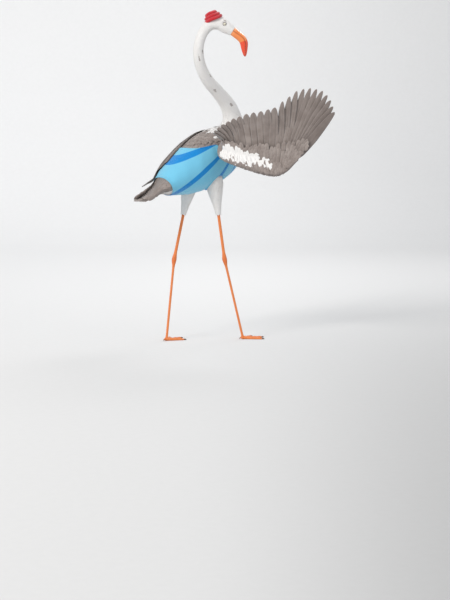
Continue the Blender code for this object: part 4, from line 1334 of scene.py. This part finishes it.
scapular_spots = np.linspace(0.030, 0.60 * folded_reach, 34)
for row, (inset, length) in enumerate(((9.0, 0.036), (4.5, 0.044), (0.0, 0.050))):
    spots = scapular_spots + 0.004 * row + rng.uniform(-0.002, 0.002, len(scapular_spots))
    place = read(FOLDED_WING, np.interp(spots, FOLDED_LENGTHS, FOLDED_PLACES))
    lengths_there = length_at(place[:, 0])
    angles_there = np.radians(place[:, 1] - inset)
    vanes(f"scapulars_left_{row}", on_body, lengths_there, angles_there, (-1.0, 0.9), length, 0.021, -0.0010,
          0.0105, body_map(place[:, 0], angles_there), small_feathers, brown=1, cup=0.12, lift=0.6,
          pitch=np.radians(6), shape=COVERT_VANE, across=FLIGHT_ACROSS)

LAID_FEATHERS = (
    # name, number, first and last root along the wing, first and last share, lengths, width, height
    ("primaries", 7, (0.50, 0.56), (0.62, 0.34), (0.30, 0.43), 0.027, -0.0022),
    ("secondaries", 10, (0.30, 0.48), (0.96, 0.42), (0.22, 0.34), 0.030, -0.0008),
    ("tertials", 6, (0.46, 0.54), (0.46, 0.08), (0.33, 0.20), 0.036, 0.0006),
)
for name, count, along, across, reach, width, height in LAID_FEATHERS:
    share = np.linspace(0, 1, count)
    roots = (along[0] + (along[1] - along[0]) * share) * folded_reach
    length = (reach[0] + (reach[1] - reach[0]) * share) * folded_reach * rng.uniform(0.97, 1.0, count)
    length = np.minimum(length, folded_reach - roots - 0.001)
    flight_vanes(f"{name}_left", on_folded, roots, across[0] + (across[1] - across[0]) * share, (1.0, 0.0),
                 length, width, height - 0.001, height + 0.0008 * share, 0.05 + 0.9 * share,
                 dark=0.4 if name == "primaries" else 0.08, cup=0.05, pitch=np.radians(5), patch=0.85 / count,
                 shaft=0.0006, ragged=0.02, stands_for=[] if name == "tertials" else [f"wing_left_{name}"])


# Bill: horn in two halves. The upper one is a thin lid that closes into the deep trough of the lower one,
# both bend down halfway, and a comb of fine plates runs along the mouth. The tip is a deeper red.

BILL_LENGTH, TIP_PITCH, BEND_START, BEND_END, MOUTH_GAP = 0.128, 92, 0.25, 0.68, 0.0007
BILL_SIZES = (  # half width and height of the lid, half width and depth of the trough
    (0.0145, 0.0150, 0.0150, 0.0190), (0.0136, 0.0122, 0.0152, 0.0205), (0.0128, 0.0102, 0.0150, 0.0224),
    (0.0122, 0.0096, 0.0144, 0.0228), (0.0108, 0.0090, 0.0122, 0.0192), (0.0080, 0.0072, 0.0088, 0.0130),
    (0.0028, 0.0030, 0.0028, 0.0036),
)
bill_root, bill_heading, _, _, _ = body_frame(BILL_ROOT)
level_heading = unit(bill_heading * np.array([1, 1, 0]))
BILL_LEFT = np.array([-level_heading[1], level_heading[0], 0.0])
BILL_SHARES = np.linspace(0, 1, 401)
bill_bend = np.clip((BILL_SHARES - BEND_START) / (BEND_END - BEND_START), 0, 1)
first_pitch = math.degrees(math.asin(-bill_heading[2]))
bill_pitch = np.radians(first_pitch + (TIP_PITCH - first_pitch) * bill_bend**2 * (3 - 2 * bill_bend))
bill_along = level_heading * np.cos(bill_pitch)[:, None] - UP * np.sin(bill_pitch)[:, None]
bill_middle = bill_root + STAND + np.cumsum(bill_along * BILL_LENGTH / 400, axis=0)


def nostril(share, across, width):
    """How near places are to the slit of a nostril, low on each side of the lid."""
    ahead = share - 0.135
    return np.exp(-((ahead / 0.055) ** 4) - (((np.abs(across) - 0.80 - ahead * 0.8) / width) ** 2))


def bill(share, angle, side):
    """Points of one half of the bill: side is 1 for the lid and -1 for the trough."""
    sizes = np.moveaxis(read(BILL_SIZES, np.clip(share, 0, 1) * 6), -1, 0)
    width, height = sizes[:2] if side > 0 else sizes[2:]
    rounded = np.sqrt(np.clip(1 - (np.maximum(share - 0.955, 0) / 0.045) ** 2, 0, 1))
    across, rise = np.cos(angle), np.sin(angle)
    along = unit(on_line(share, BILL_SHARES, bill_along))
    before_root = along * (np.minimum(share, 0) * BILL_LENGTH)[..., None]
    middle = on_line(share, BILL_SHARES, bill_middle) + before_root
    before_bend = 1 - np.clip((share - 0.30) / 0.25, 0, 1)
    if side > 0:
        ridge = 0.07 * hump(across, 0, 0.22) - 0.07 * hump(np.abs(across), 0.50, 0.13)
        slit = nostril(share, across, 0.060)
        outline = height * (1 + ridge) - 0.0022 * slit
        width = width - 0.0012 * slit
    else:
        outline = height * (1 - 0.09 * hump(across, 0, 0.18) * before_bend)
        width = width + 0.0005 * hump(rise, 0, 0.22)
    outer = outline * np.abs(rise) ** 0.8
    inner = -0.0006 * np.sqrt(np.abs(rise))
    lift = side * (MOUTH_GAP + np.where(rise > 0, outer, inner) * rounded)
    up = np.cross(along, BILL_LEFT)
    return middle + BILL_LEFT * (width * rounded * across)[..., None] + up * lift[..., None]


horn, horn_tree = finish_of("bill_horn", 0.34, Specular_IOR_Level=0.5, Coat_Weight=0.25, Coat_Roughness=0.22)
horn_along, horn_grain = own_value(horn_tree, "along"), speckle(horn_tree, 260, 5, 0.6)
wavy_along = horn_along + speckle(horn_tree, 90, 3) * 0.05
horn_colour = layered(
    speckle(horn_tree, 70, 5).blend((0.78, 0.215, 0.052), (0.82, 0.265, 0.075)),
    (wavy_along.eased(0.500, 0.545), (0.740, 0.062, 0.020)),  # the redder tip
    (horn_along.eased(0.90, 1.0, 0.0, 0.5), (0.42, 0.035, 0.015)),
    (horn_along.eased(0.12, -0.01, 0.0, 0.35), (0.86, 0.45, 0.22)),  # paler at the face
    # painted shade: the horn is darkened along the mouth line, where the two halves meet
    (own_value(horn_tree, "mouth") * 0.72, (0.36, 0.062, 0.014)),
    # painted shade: the nostril slit is painted nearly black
    (own_value(horn_tree, "slit") * 0.9, (0.055, 0.018, 0.010)),
    (horn_grain.eased(0.52, 0.72, 0.0, 0.22), (0.58, 0.12, 0.03)))
feed(horn_tree, Base_Color=horn_colour, Roughness=horn_grain.eased(0.3, 0.7, 0.27, 0.46))
comb = (horn_along * 1150.0).sine() * own_value(horn_tree, "comb")
raised(horn_tree, comb * 0.6 + horn_grain * 0.5, 0.5, 0.00035)

for side, part in ((1, "bill_upper"), (-1, "bill_lower")):
    def half(u, v, side=side):
        return bill(-0.035 + 1.035 * v, u * 2 * np.pi, side)

    made = wrapped(f"{part}_horn", 112, 190, half, horn)
    places = points_of(made)
    to_line = np.array([np.argmin(((bill_middle - p) ** 2).sum(-1)) for p in places])
    up = np.cross(bill_along[to_line], BILL_LEFT)
    offset = places - bill_middle[to_line]
    lift = np.abs((offset * up).sum(-1))
    half_width = read(BILL_SIZES, BILL_SHARES[to_line] * 6)[:, 0 if side > 0 else 2]
    across = np.abs(offset @ BILL_LEFT) / np.maximum(half_width, 1e-4)
    behind = np.minimum(((places - bill_middle[0]) * bill_along[0]).sum(-1), 0) / BILL_LENGTH
    share = np.where(to_line == 0, behind, BILL_SHARES[to_line])
    plates = hump(lift, 0.0022, 0.0014) * np.clip((share - 0.05) / 0.05, 0, 1) * (share < 0.85)
    # where the nostril slit's painted shade goes
    slit = nostril(share, across, 0.055) * (side > 0)
    # mouth: where the painted shade along the mouth line goes
    carry(made, along=share, mouth=hump(lift, 0, 0.0013), slit=slit, comb=plates)
    fitted(made, "bill_horn", part)


# Eyes: glass eyes as a museum sets them, with a very pale iris, a small black pupil and a clear domed
# front. They sit deep in the head, inside the ring of bare grey skin.

eye_glass, eye_tree = finish_of("eye_glass", 0.05, Specular_IOR_Level=0.6, Coat_Weight=1.0,
                                Coat_Roughness=0.02)
gaze_map, iris_rays = eye_tree.nodes.new("ShaderNodeUVMap"), eye_tree.nodes.new("ShaderNodeTexNoise")
gaze_offset, gaze_length, gaze_turn = (eye_tree.nodes.new("ShaderNodeVectorMath") for _ in range(3))
gaze_map.uv_map = "unwrap"
gaze_offset.inputs[1].default_value = (0.5, 0.5, 0)
for node, operation, source in ((gaze_offset, "SUBTRACT", gaze_map), (gaze_length, "LENGTH", gaze_offset),
                                (gaze_turn, "NORMALIZE", gaze_offset)):
    node.operation = operation
    eye_tree.links.new(source.outputs[0], node.inputs[0])
iris_rays.inputs["Scale"].default_value = 14
iris_rays.inputs["Detail"].default_value = 4
eye_tree.links.new(gaze_turn.outputs["Vector"], iris_rays.inputs["Vector"])
iris_cloud = Reckoned(eye_tree, iris_rays.outputs["Fac"]).eased(0.35, 0.65)
gaze_out = Reckoned(eye_tree, gaze_length.outputs["Value"]) * 180.0  # degrees off the line of sight
feed(eye_tree, Base_Color=layered(
    iris_cloud.blend((0.83, 0.79, 0.66), (0.74, 0.69, 0.53)),
    (gaze_out.eased(13.0, 18.0, 0.5, 0.0), (0.45, 0.38, 0.24)),
    (gaze_out.eased(31.0, 38.0, 0.0, 0.85), (0.10, 0.085, 0.08)),
    (gaze_out.eased(11.5, 12.6, 1.0, 0.0), (0.006, 0.006, 0.007))))  # the pupil


def grained(name, roughness, specular, grain, light, dark, strength):
    """A finish in two tones, with a fine relief in the same grain."""
    made, tree = finish_of(name, roughness, Specular_IOR_Level=specular)
    cloud = speckle(tree, *grain)
    feed(tree, Base_Color=cloud.blend(light, dark))
    raised(tree, cloud, strength, 0.0003)
    return made


eye_skin = grained("eye_skin", 0.5, 0.4, (900, 3), (0.300, 0.275, 0.275), (0.205, 0.185, 0.185), 0.5)

RING_LIFT, RING_REACH = 0.0009, 0.0028  # how proud the bare ring stands, and how wide it is
for side, eye in zip(("left", "right"), EYES):
    _, _, outwards = near_eye(eye, eye)
    head_ahead = unit(level_heading - outwards * (level_heading @ outwards))
    head_up = np.cross(head_ahead, outwards) * np.sign(np.cross(head_ahead, outwards)[2])
    sight_line = unit(outwards + 0.20 * head_ahead - 0.10 * head_up)
    sight_left = unit(np.cross(sight_line, head_up))
    sight_up = np.cross(sight_left, sight_line)

    def eyeball(u, v, eye=eye, sight=(sight_line, sight_left, sight_up)):
        off, turn = v * np.pi, u * 2 * np.pi
        dome = EYE_RADIUS * (1 + 0.045 * np.exp(-((off / 0.62) ** 4)))
        return eye + (sight[0] * np.cos(off)[:, None] + sight[1] * (np.sin(off) * np.cos(turn))[:, None]
                      + sight[2] * (np.sin(off) * np.sin(turn))[:, None]) * dome[:, None]

    def eye_map(u, v):
        return 0.5 + np.stack([v * np.cos(u * 2 * np.pi), v * np.sin(u * 2 * np.pi)], -1)

    fitted(wrapped(f"glass_eye_{side}", 64, 48, eyeball, eye_glass, unwrap=eye_map), "eyes", f"eye_{side}")

    def eye_ring(u, v, eye=eye, outwards=outwards, ahead=head_ahead, up=head_up):
        turn, section = u * 2 * np.pi, v * 2 * np.pi
        beads = 1 + 0.10 * np.sin(turn * 30) * np.clip(np.cos(section), 0, 1)
        above, below = (np.clip(way * np.sin(turn), 0, 1) ** 2 for way in (1, -1))
        off = LID_RADIUS - 0.0007 * above - 0.0003 * below
        off = off + RING_REACH / 2 * (1 - np.cos(section)) * (1 + 0.20 * np.cos(turn - 0.4))
        over_ball = np.sqrt(np.maximum(EYE_RADIUS**2 - off**2, 0.0048**2)) + 0.0002
        proud = np.where(np.sin(section) > 0, 1.0, -0.8) * np.abs(np.sin(section)) ** 0.7 * beads
        round_eye = ahead * np.cos(turn)[:, None] + up * np.sin(turn)[:, None]
        return eye + outwards * (over_ball + RING_LIFT * proud)[:, None] + round_eye * off[:, None]

    fitted(wrapped(f"eye_ring_{side}", 144, 20, eye_ring, eye_skin, close=(False, False)), "plumage_white")


# Claws: blunt dark horn, one curved over the tip of each front toe and a smaller one on each hind toe. Each
# is a separate solid piece that sits on the end of its toe.

claw_horn = grained("claw_horn", 0.35, 0.5, (420, 4), (0.050, 0.036, 0.030), (0.110, 0.075, 0.055), 0.4)
CLAW, CLAW_RADIUS, CLAW_HEIGHT, HIND_CLAW = 0.0085, 0.0029, 0.0033, 0.65
QUARTERS = np.linspace(0, 1, 4)
for side, (_, _, _, _, _, toe_heading) in LEGS.items():
    root = leg_points(side)[3]
    facing, spread = math.radians(toe_heading), 1 if side == "right" else -1
    tips = {}
    for name, (angle, size) in TOES.items():
        heading = turned(facing + spread * math.radians(angle))
        tips[name] = (root + heading * size + UP * CLAW_HEIGHT, heading, 1.0)
    back = turned(facing + math.pi)
    tips["hind"] = (root + back * HIND_TOE + UP * HIND_HEIGHT, unit(back - UP * 0.25), HIND_CLAW)
    for name, (start, heading, size) in tips.items():
        def claw(u, v, start=start, heading=heading, size=size):
            line = (start - heading * 0.0022, start + heading * CLAW * 0.30 * size,
                    start + heading * CLAW * 0.68 * size - UP * 0.0006 * size,
                    start + heading * CLAW * size - UP * 0.0018 * size)
            radii = np.array([1.0, 0.94, 0.62, 0.14]) * CLAW_RADIUS * size
            steps = np.linspace(0, 1, 25)
            middle = softened(on_line(steps, QUARTERS, line), 2)
            return round_line(middle, np.interp(steps, QUARTERS, radii), u, v, UP)

        made = wrapped(f"horn_claw_{side}_{name}", 20, 18, claw, claw_horn)
        fitted(made, "claw_horn", f"claw_{side}_{name}")


# Bathing suit: knitted cloth in light blue with dark blue hoops, a sleeve pulled over the trunk. It is low
# over the back, with ribbed edges round the back, the tail and the legs, and stretched tight.

# Knit: rows of stitches on the map "cloth", in metres, and ribs where the mesh carries rib = 1
knit, cloth_across, cloth_up, wale_width, course_height = effect(
    "knit", "cloth", ("Wale", "Course"), ("Height", "Groove"))
wale = cloth_across / wale_width
off_wale = abs(wale.reckon("FRACT", wale) - 0.5)
loop_line = abs(((cloth_up / course_height + off_wale * 1.4) * math.pi).sine())
stitch = loop_line**0.6 * abs((off_wale * (2 * math.pi)).sine()) ** 0.5
rib = abs((cloth_across / wale_width * (math.pi / 3)).sine())
gives(knit, Height=stitch + rib * (own_value(knit, "rib") * 2.2),
      Groove=stitch.reckon("SUBTRACT", 1.0, stitch, clamp=True))


def knitted(name, wale, course, depth, colour_of):
    """A knitted cloth whose plain colour comes from colour_of(tree)."""
    made, tree = finish_of(name, 0.85, Specular_IOR_Level=0.2, Sheen_Weight=0.5, Sheen_Roughness=0.4)
    stitches = use(tree, knit, Wale=wale, Course=course)
    shaded = (stitches["Groove"] * 0.30).blend(colour_of(tree), (0.30, 0.30, 0.32), kind="MULTIPLY")
    feed(tree, Base_Color=shaded, Roughness=speckle(tree, 300, 3).eased(0.3, 0.7, 0.78, 0.92))
    raised(tree, stitches["Height"], 0.7, depth)
    return made


HOOP_PIVOT = np.array([0.153, 0.0, 0.881]) + STAND  # the hoops fan out from here, seen from the side
HOOPS = (-30, -10, 10, 30, 50, 67.3)  # the hoops' middles, in degrees from straight down towards the tail
HOOP_WIDTH = (4.6, 0.0205)  # in degrees near the pivot, and in metres where they are further from it
SUIT_LIGHT = ((0.205, 0.615, 0.835), (0.175, 0.56, 0.79))  # the two tones of each dye
SUIT_DARK = ((0.004, 0.270, 0.700), (0.003, 0.235, 0.64))


def hooped(tree):
    """Light blue, with a dark hoop wherever the value hoop is near one of the hoops' middles."""
    value, away = own_value(tree, "hoop"), own_value(tree, "away")
    turned_width = away.reckon("DIVIDE", math.degrees(HOOP_WIDTH[1] / 2), away)
    half = away.reckon("MINIMUM", turned_width, HOOP_WIDTH[0] / 2)
    share = 0.0
    for middle in HOOPS:
        share = half.reckon("MAXIMUM", (abs(value - middle) - half).eased(0.12, -0.12), share)
    return share.blend(*(speckle(tree, 40, 3).blend(*tones) for tones in (SUIT_LIGHT, SUIT_DARK)))


suit_knit = knitted("suit_knit", 0.0018, 0.0014, 0.0005, hooped)
SUIT_GAP, SUIT_FROM_WING, SUIT_THICKNESS, HEM = 0.0006, 0.0022, 0.0016, 0.010
SUIT_SPAN, SUIT_PROBES = (2.6, 11.6), 700  # stations between which its edges are looked for, in so many steps
HEM_RISE, LEG_PULLS, DRAPE = 0.0009, 0.0007, 0.0006  # relief of the hems, of the pulls at the legs, of folds


def edge_lengths(angles):
    """Lengths along the body where the suit starts at the tail and ends at its upper edge, at each angle."""
    lengths = np.linspace(*(length_at(station) for station in SUIT_SPAN), SUIT_PROBES)
    middle, radius = arm(np.linspace(0, 0.6, 40))
    starts, ends = [], []
    for angle in angles:
        points = on_body(lengths, np.full(SUIT_PROBES, angle), SUIT_GAP)
        apart = np.linalg.norm(points[:, None] - middle[None], axis=-1) - radius[None]
        covered = (above_suit(points) < 0) & (behind_suit(points) < 0)
        inside = covered & (apart.min(axis=1) > SUIT_FROM_WING)
        first = int(np.argmax(inside))
        last = first + int(np.argmin(inside[first:])) if not inside[first:].all() else SUIT_PROBES - 1
        starts.append(lengths[first])
        ends.append(lengths[last])
    return np.array(starts), np.array(ends)


def evened(values, width):
    """Values round the body, smoothed over their neighbours."""
    kernel = hump(np.arange(-12, 13), 0, width)
    around = np.concatenate([values[-13:-1], values, values[1:13]])
    return np.convolve(around, kernel / kernel.sum(), "valid")


hem_angles = np.linspace(-np.pi, np.pi, 241)
suit_starts, suit_ends = edge_lengths(hem_angles)
suit_starts, suit_ends = evened(suit_starts, 4.0), evened(suit_ends, 2.5)


def suit_place(u, v):
    """Angle and length on the body of places on the suit, and how far they are from its hems."""
    angle = turn_of(u)
    start, end = np.interp(angle, hem_angles, suit_starts), np.interp(angle, hem_angles, suit_ends)
    length = start + (end - start) * v
    return angle, length, np.minimum(length - start, end - length)


def suit_sleeve(u, v):
    angle, length, from_hem = suit_place(u, v)
    height = SUIT_GAP + SUIT_THICKNESS + HEM_RISE * np.clip((HEM - from_hem) / 0.0015, 0, 1)
    points = on_body(length, angle, height)
    pulls = np.zeros(len(angle))
    for side in LEGS:
        hip, feather_end, _, _ = leg_points(side)
        down = unit(feather_end - hip)
        offset = points - hip
        away = np.linalg.norm(offset - (offset @ down)[:, None] * down, axis=1)
        turn = np.arctan2(offset[:, 1], offset[:, 0])
        pulls += LEG_PULLS * hump(away, 0.050, 0.030) * (offset[:, 2] < 0) * np.sin(turn * 13 + away * 60)
    drape = DRAPE * np.sin(length * 95 + 3 * np.sin(angle * 2)) * hump(np.abs(angle), 1.2, 0.7)
    return on_body(length, angle, height + pulls + drape * (from_hem > 0.004))


def suit_map(u, v):
    angle, length, _ = suit_place(u, v)
    return np.stack([angle * 0.095, length], -1)


suit = wrapped("bathing_suit_cloth", 240, 190, suit_sleeve, suit_knit, close=(False, False), cloth=suit_map,
               values=lambda u, v: {"rib": np.clip((HEM - suit_place(u, v)[2]) / 0.001, 0, 1)})
thickened(suit, SUIT_THICKNESS)

LEG_HOLE, LEG_HEM = 0.0022, (0.0026, 0.0044)  # how far the holes stand off the thighs; the hems' half sizes
PROBE_START, PROBE_LENGTH, PROBE_STEP = 0.045, 0.22, 0.0004  # above the hip, down the thigh, past each hit
for side in LEGS:
    hip, feather_end, _, _ = leg_points(side)
    thigh_axis = feather_end - hip
    deselect()
    bpy.ops.mesh.primitive_cylinder_add(vertices=96, radius=THIGH_RADII[0] + LEG_HOLE,
                                        depth=float(np.linalg.norm(thigh_axis)) * 0.75)
    cutter = bpy.context.object
    cutter.rotation_euler = Vector(thigh_axis).to_track_quat("Z", "Y").to_euler()
    cutter.location = hip + thigh_axis * 0.375
    cut = suit.modifiers.new("leg_hole", "BOOLEAN")
    cut.object = cutter
    cut.operation = "DIFFERENCE"
    cut.solver = "EXACT"
    bpy.context.view_layer.objects.active = suit
    bpy.ops.object.modifier_apply(modifier="leg_hole")
    bpy.data.objects.remove(cutter)
suit_tree = BVHTree.FromObject(suit, bpy.context.evaluated_depsgraph_get())
hems = []
for side in LEGS:
    hip, feather_end, _, _ = leg_points(side)
    down = unit(feather_end - hip)
    turns, leaves = np.linspace(-np.pi, np.pi, 97), []
    for turn in turns:
        outer, inner = (thigh(side, np.array(0.1), np.array(turn), grow) for grow in (0.0, -0.03))
        outwards = unit(outer - inner)
        start = Vector(hip + outwards * (THIGH_RADII[0] + LEG_HOLE + 0.0030) - down * PROBE_START)
        distances, here = [], start
        while True:
            hit, *_ = suit_tree.ray_cast(here, Vector(down), PROBE_LENGTH)
            if hit is None:
                break
            distances.append((hit - start).length)
            here = hit + Vector(down) * PROBE_STEP
        leaves.append(max(distances) - PROBE_START if distances else np.nan)
    leaves = np.array(leaves)
    known = ~np.isnan(leaves)
    leaves = evened(np.interp(turns, turns[known], leaves[known]), 3.0)
    thigh_length = np.linalg.norm(feather_end - hip)

    def hem(u, v, side=side, leaves=leaves, turns=turns, thigh_length=thigh_length):
        turn, section = turn_of(u), v * 2 * np.pi
        share = (np.interp(turn, turns, leaves) + LEG_HEM[1] * np.cos(section)) / thigh_length
        gap = THIGH_RADII[0] + LEG_HOLE - thigh_radius(share)
        rise = (LEG_HEM[0] + np.abs(gap) / 2) * np.sin(section)
        return thigh(side, share, turn, np.maximum(gap, 0) * 0.5 + 0.0012 + rise)

    made = wrapped(f"leg_hem_{side}", 192, 16, hem, suit_knit, close=(False, False), cloth=island())
    carry(made, rib=0.5)
    hems.append(made)
deselect()
for piece in (*hems, suit):
    piece.select_set(True)
bpy.context.view_layer.objects.active = suit
bpy.ops.object.join()
bpy.ops.object.shade_smooth()
flat_offset = (points_of(suit) - HOOP_PIVOT) * np.array([1, 0, 1])
hoop_angle = np.degrees(np.arctan2(-flat_offset[:, 0], -flat_offset[:, 2]))
carry(suit, hoop=hoop_angle, away=np.linalg.norm(flat_offset, axis=1))
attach(suit, "root")
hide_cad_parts("bathing_suit")


# Cap: a knitted red cap whose brim is turned up in two soft rolls under the broad low crown. It is pulled
# on over the back of the head, so it leans backwards.

CAP_MIDDLE = np.array([0.052, -0.027, 1.3305]) + STAND
CAP_LEAN, CAP_TURN, CAP_LONG, CAP_WIDE = math.radians(24), math.radians(-38), 1.10, 0.94
CAP_PROFILE = (  # radius and height, from the crown over the rolls to the lining against the head
    (0.0, 0.0345), (0.0065, 0.0344), (0.0125, 0.0340), (0.0180, 0.0328), (0.0219, 0.0303),
    (0.0242, 0.0268), (0.0245, 0.0236), (0.0236, 0.0216), (0.0250, 0.0204), (0.0284, 0.0190),
    (0.0306, 0.0164), (0.0313, 0.0132), (0.0307, 0.0104), (0.0293, 0.0090), (0.0306, 0.0080),
    (0.0338, 0.0064), (0.0356, 0.0034), (0.0357, -0.0006), (0.0342, -0.0038), (0.0312, -0.0057),
    (0.0272, -0.0062), (0.0235, -0.0045), (0.0208, 0.0000), (0.0192, 0.0040),
)
CAP_CLOTH, CAP_CUT = 0.0024, (0.135, 0.100)
CAP_RIBS, CAP_RIB, CAP_SLOUCH = 46, 0.00030, 0.0022


def spun(x, y, angle):
    return x * math.cos(angle) - y * math.sin(angle), x * math.sin(angle) + y * math.cos(angle)


def cap_point(u, v):
    turn = u * 2 * np.pi
    profile = read(CAP_PROFILE, v * (len(CAP_PROFILE) - 1))
    radius, height = np.maximum(profile[..., 0], 0), profile[..., 1]
    uneven = 1 + 0.018 * np.sin(turn * 2 + height * 160) + 0.012 * np.sin(turn * 5 - height * 240)
    ribs = CAP_RIB * np.cos(turn * CAP_RIBS) * np.clip((radius - 0.012) / 0.010, 0, 1)
    radius = radius * uneven + ribs - 0.0004
    slouch = CAP_SLOUCH * np.sin(height * 70) * np.clip(height / 0.05, 0, 1)
    x, y = radius * np.cos(turn) * CAP_LONG - slouch, radius * np.sin(turn) * CAP_WIDE
    z = height + 0.0008 * np.sin(turn * 3 + 1) * np.clip(radius / 0.02, 0, 1)
    x, z = spun(x, z, CAP_LEAN)
    return CAP_MIDDLE + np.stack([*spun(x, y, CAP_TURN), z], -1)


def cap_map(u, v):
    return np.stack([u * 0.207, np.interp(v, np.linspace(0, 1, 200), cap_drop)], -1)


def red_wool(tree):
    return speckle(tree, 120, 4).blend((0.66, 0.040, 0.052), (0.54, 0.028, 0.040))


cap_drop = run_lengths(read(CAP_PROFILE, np.linspace(0, len(CAP_PROFILE) - 1, 200)))
cap_knit = knitted("cap_knit", 0.0030, 0.0024, 0.0007, red_wool)
cap = wrapped("knitted_cap", 276, 120, cap_point, cap_knit, close=(True, False), cloth=cap_map)
carry(cap, rib=0.25)
thickened(cap, CAP_CLOTH)
fitted(cap, "cap_knit", "cap")
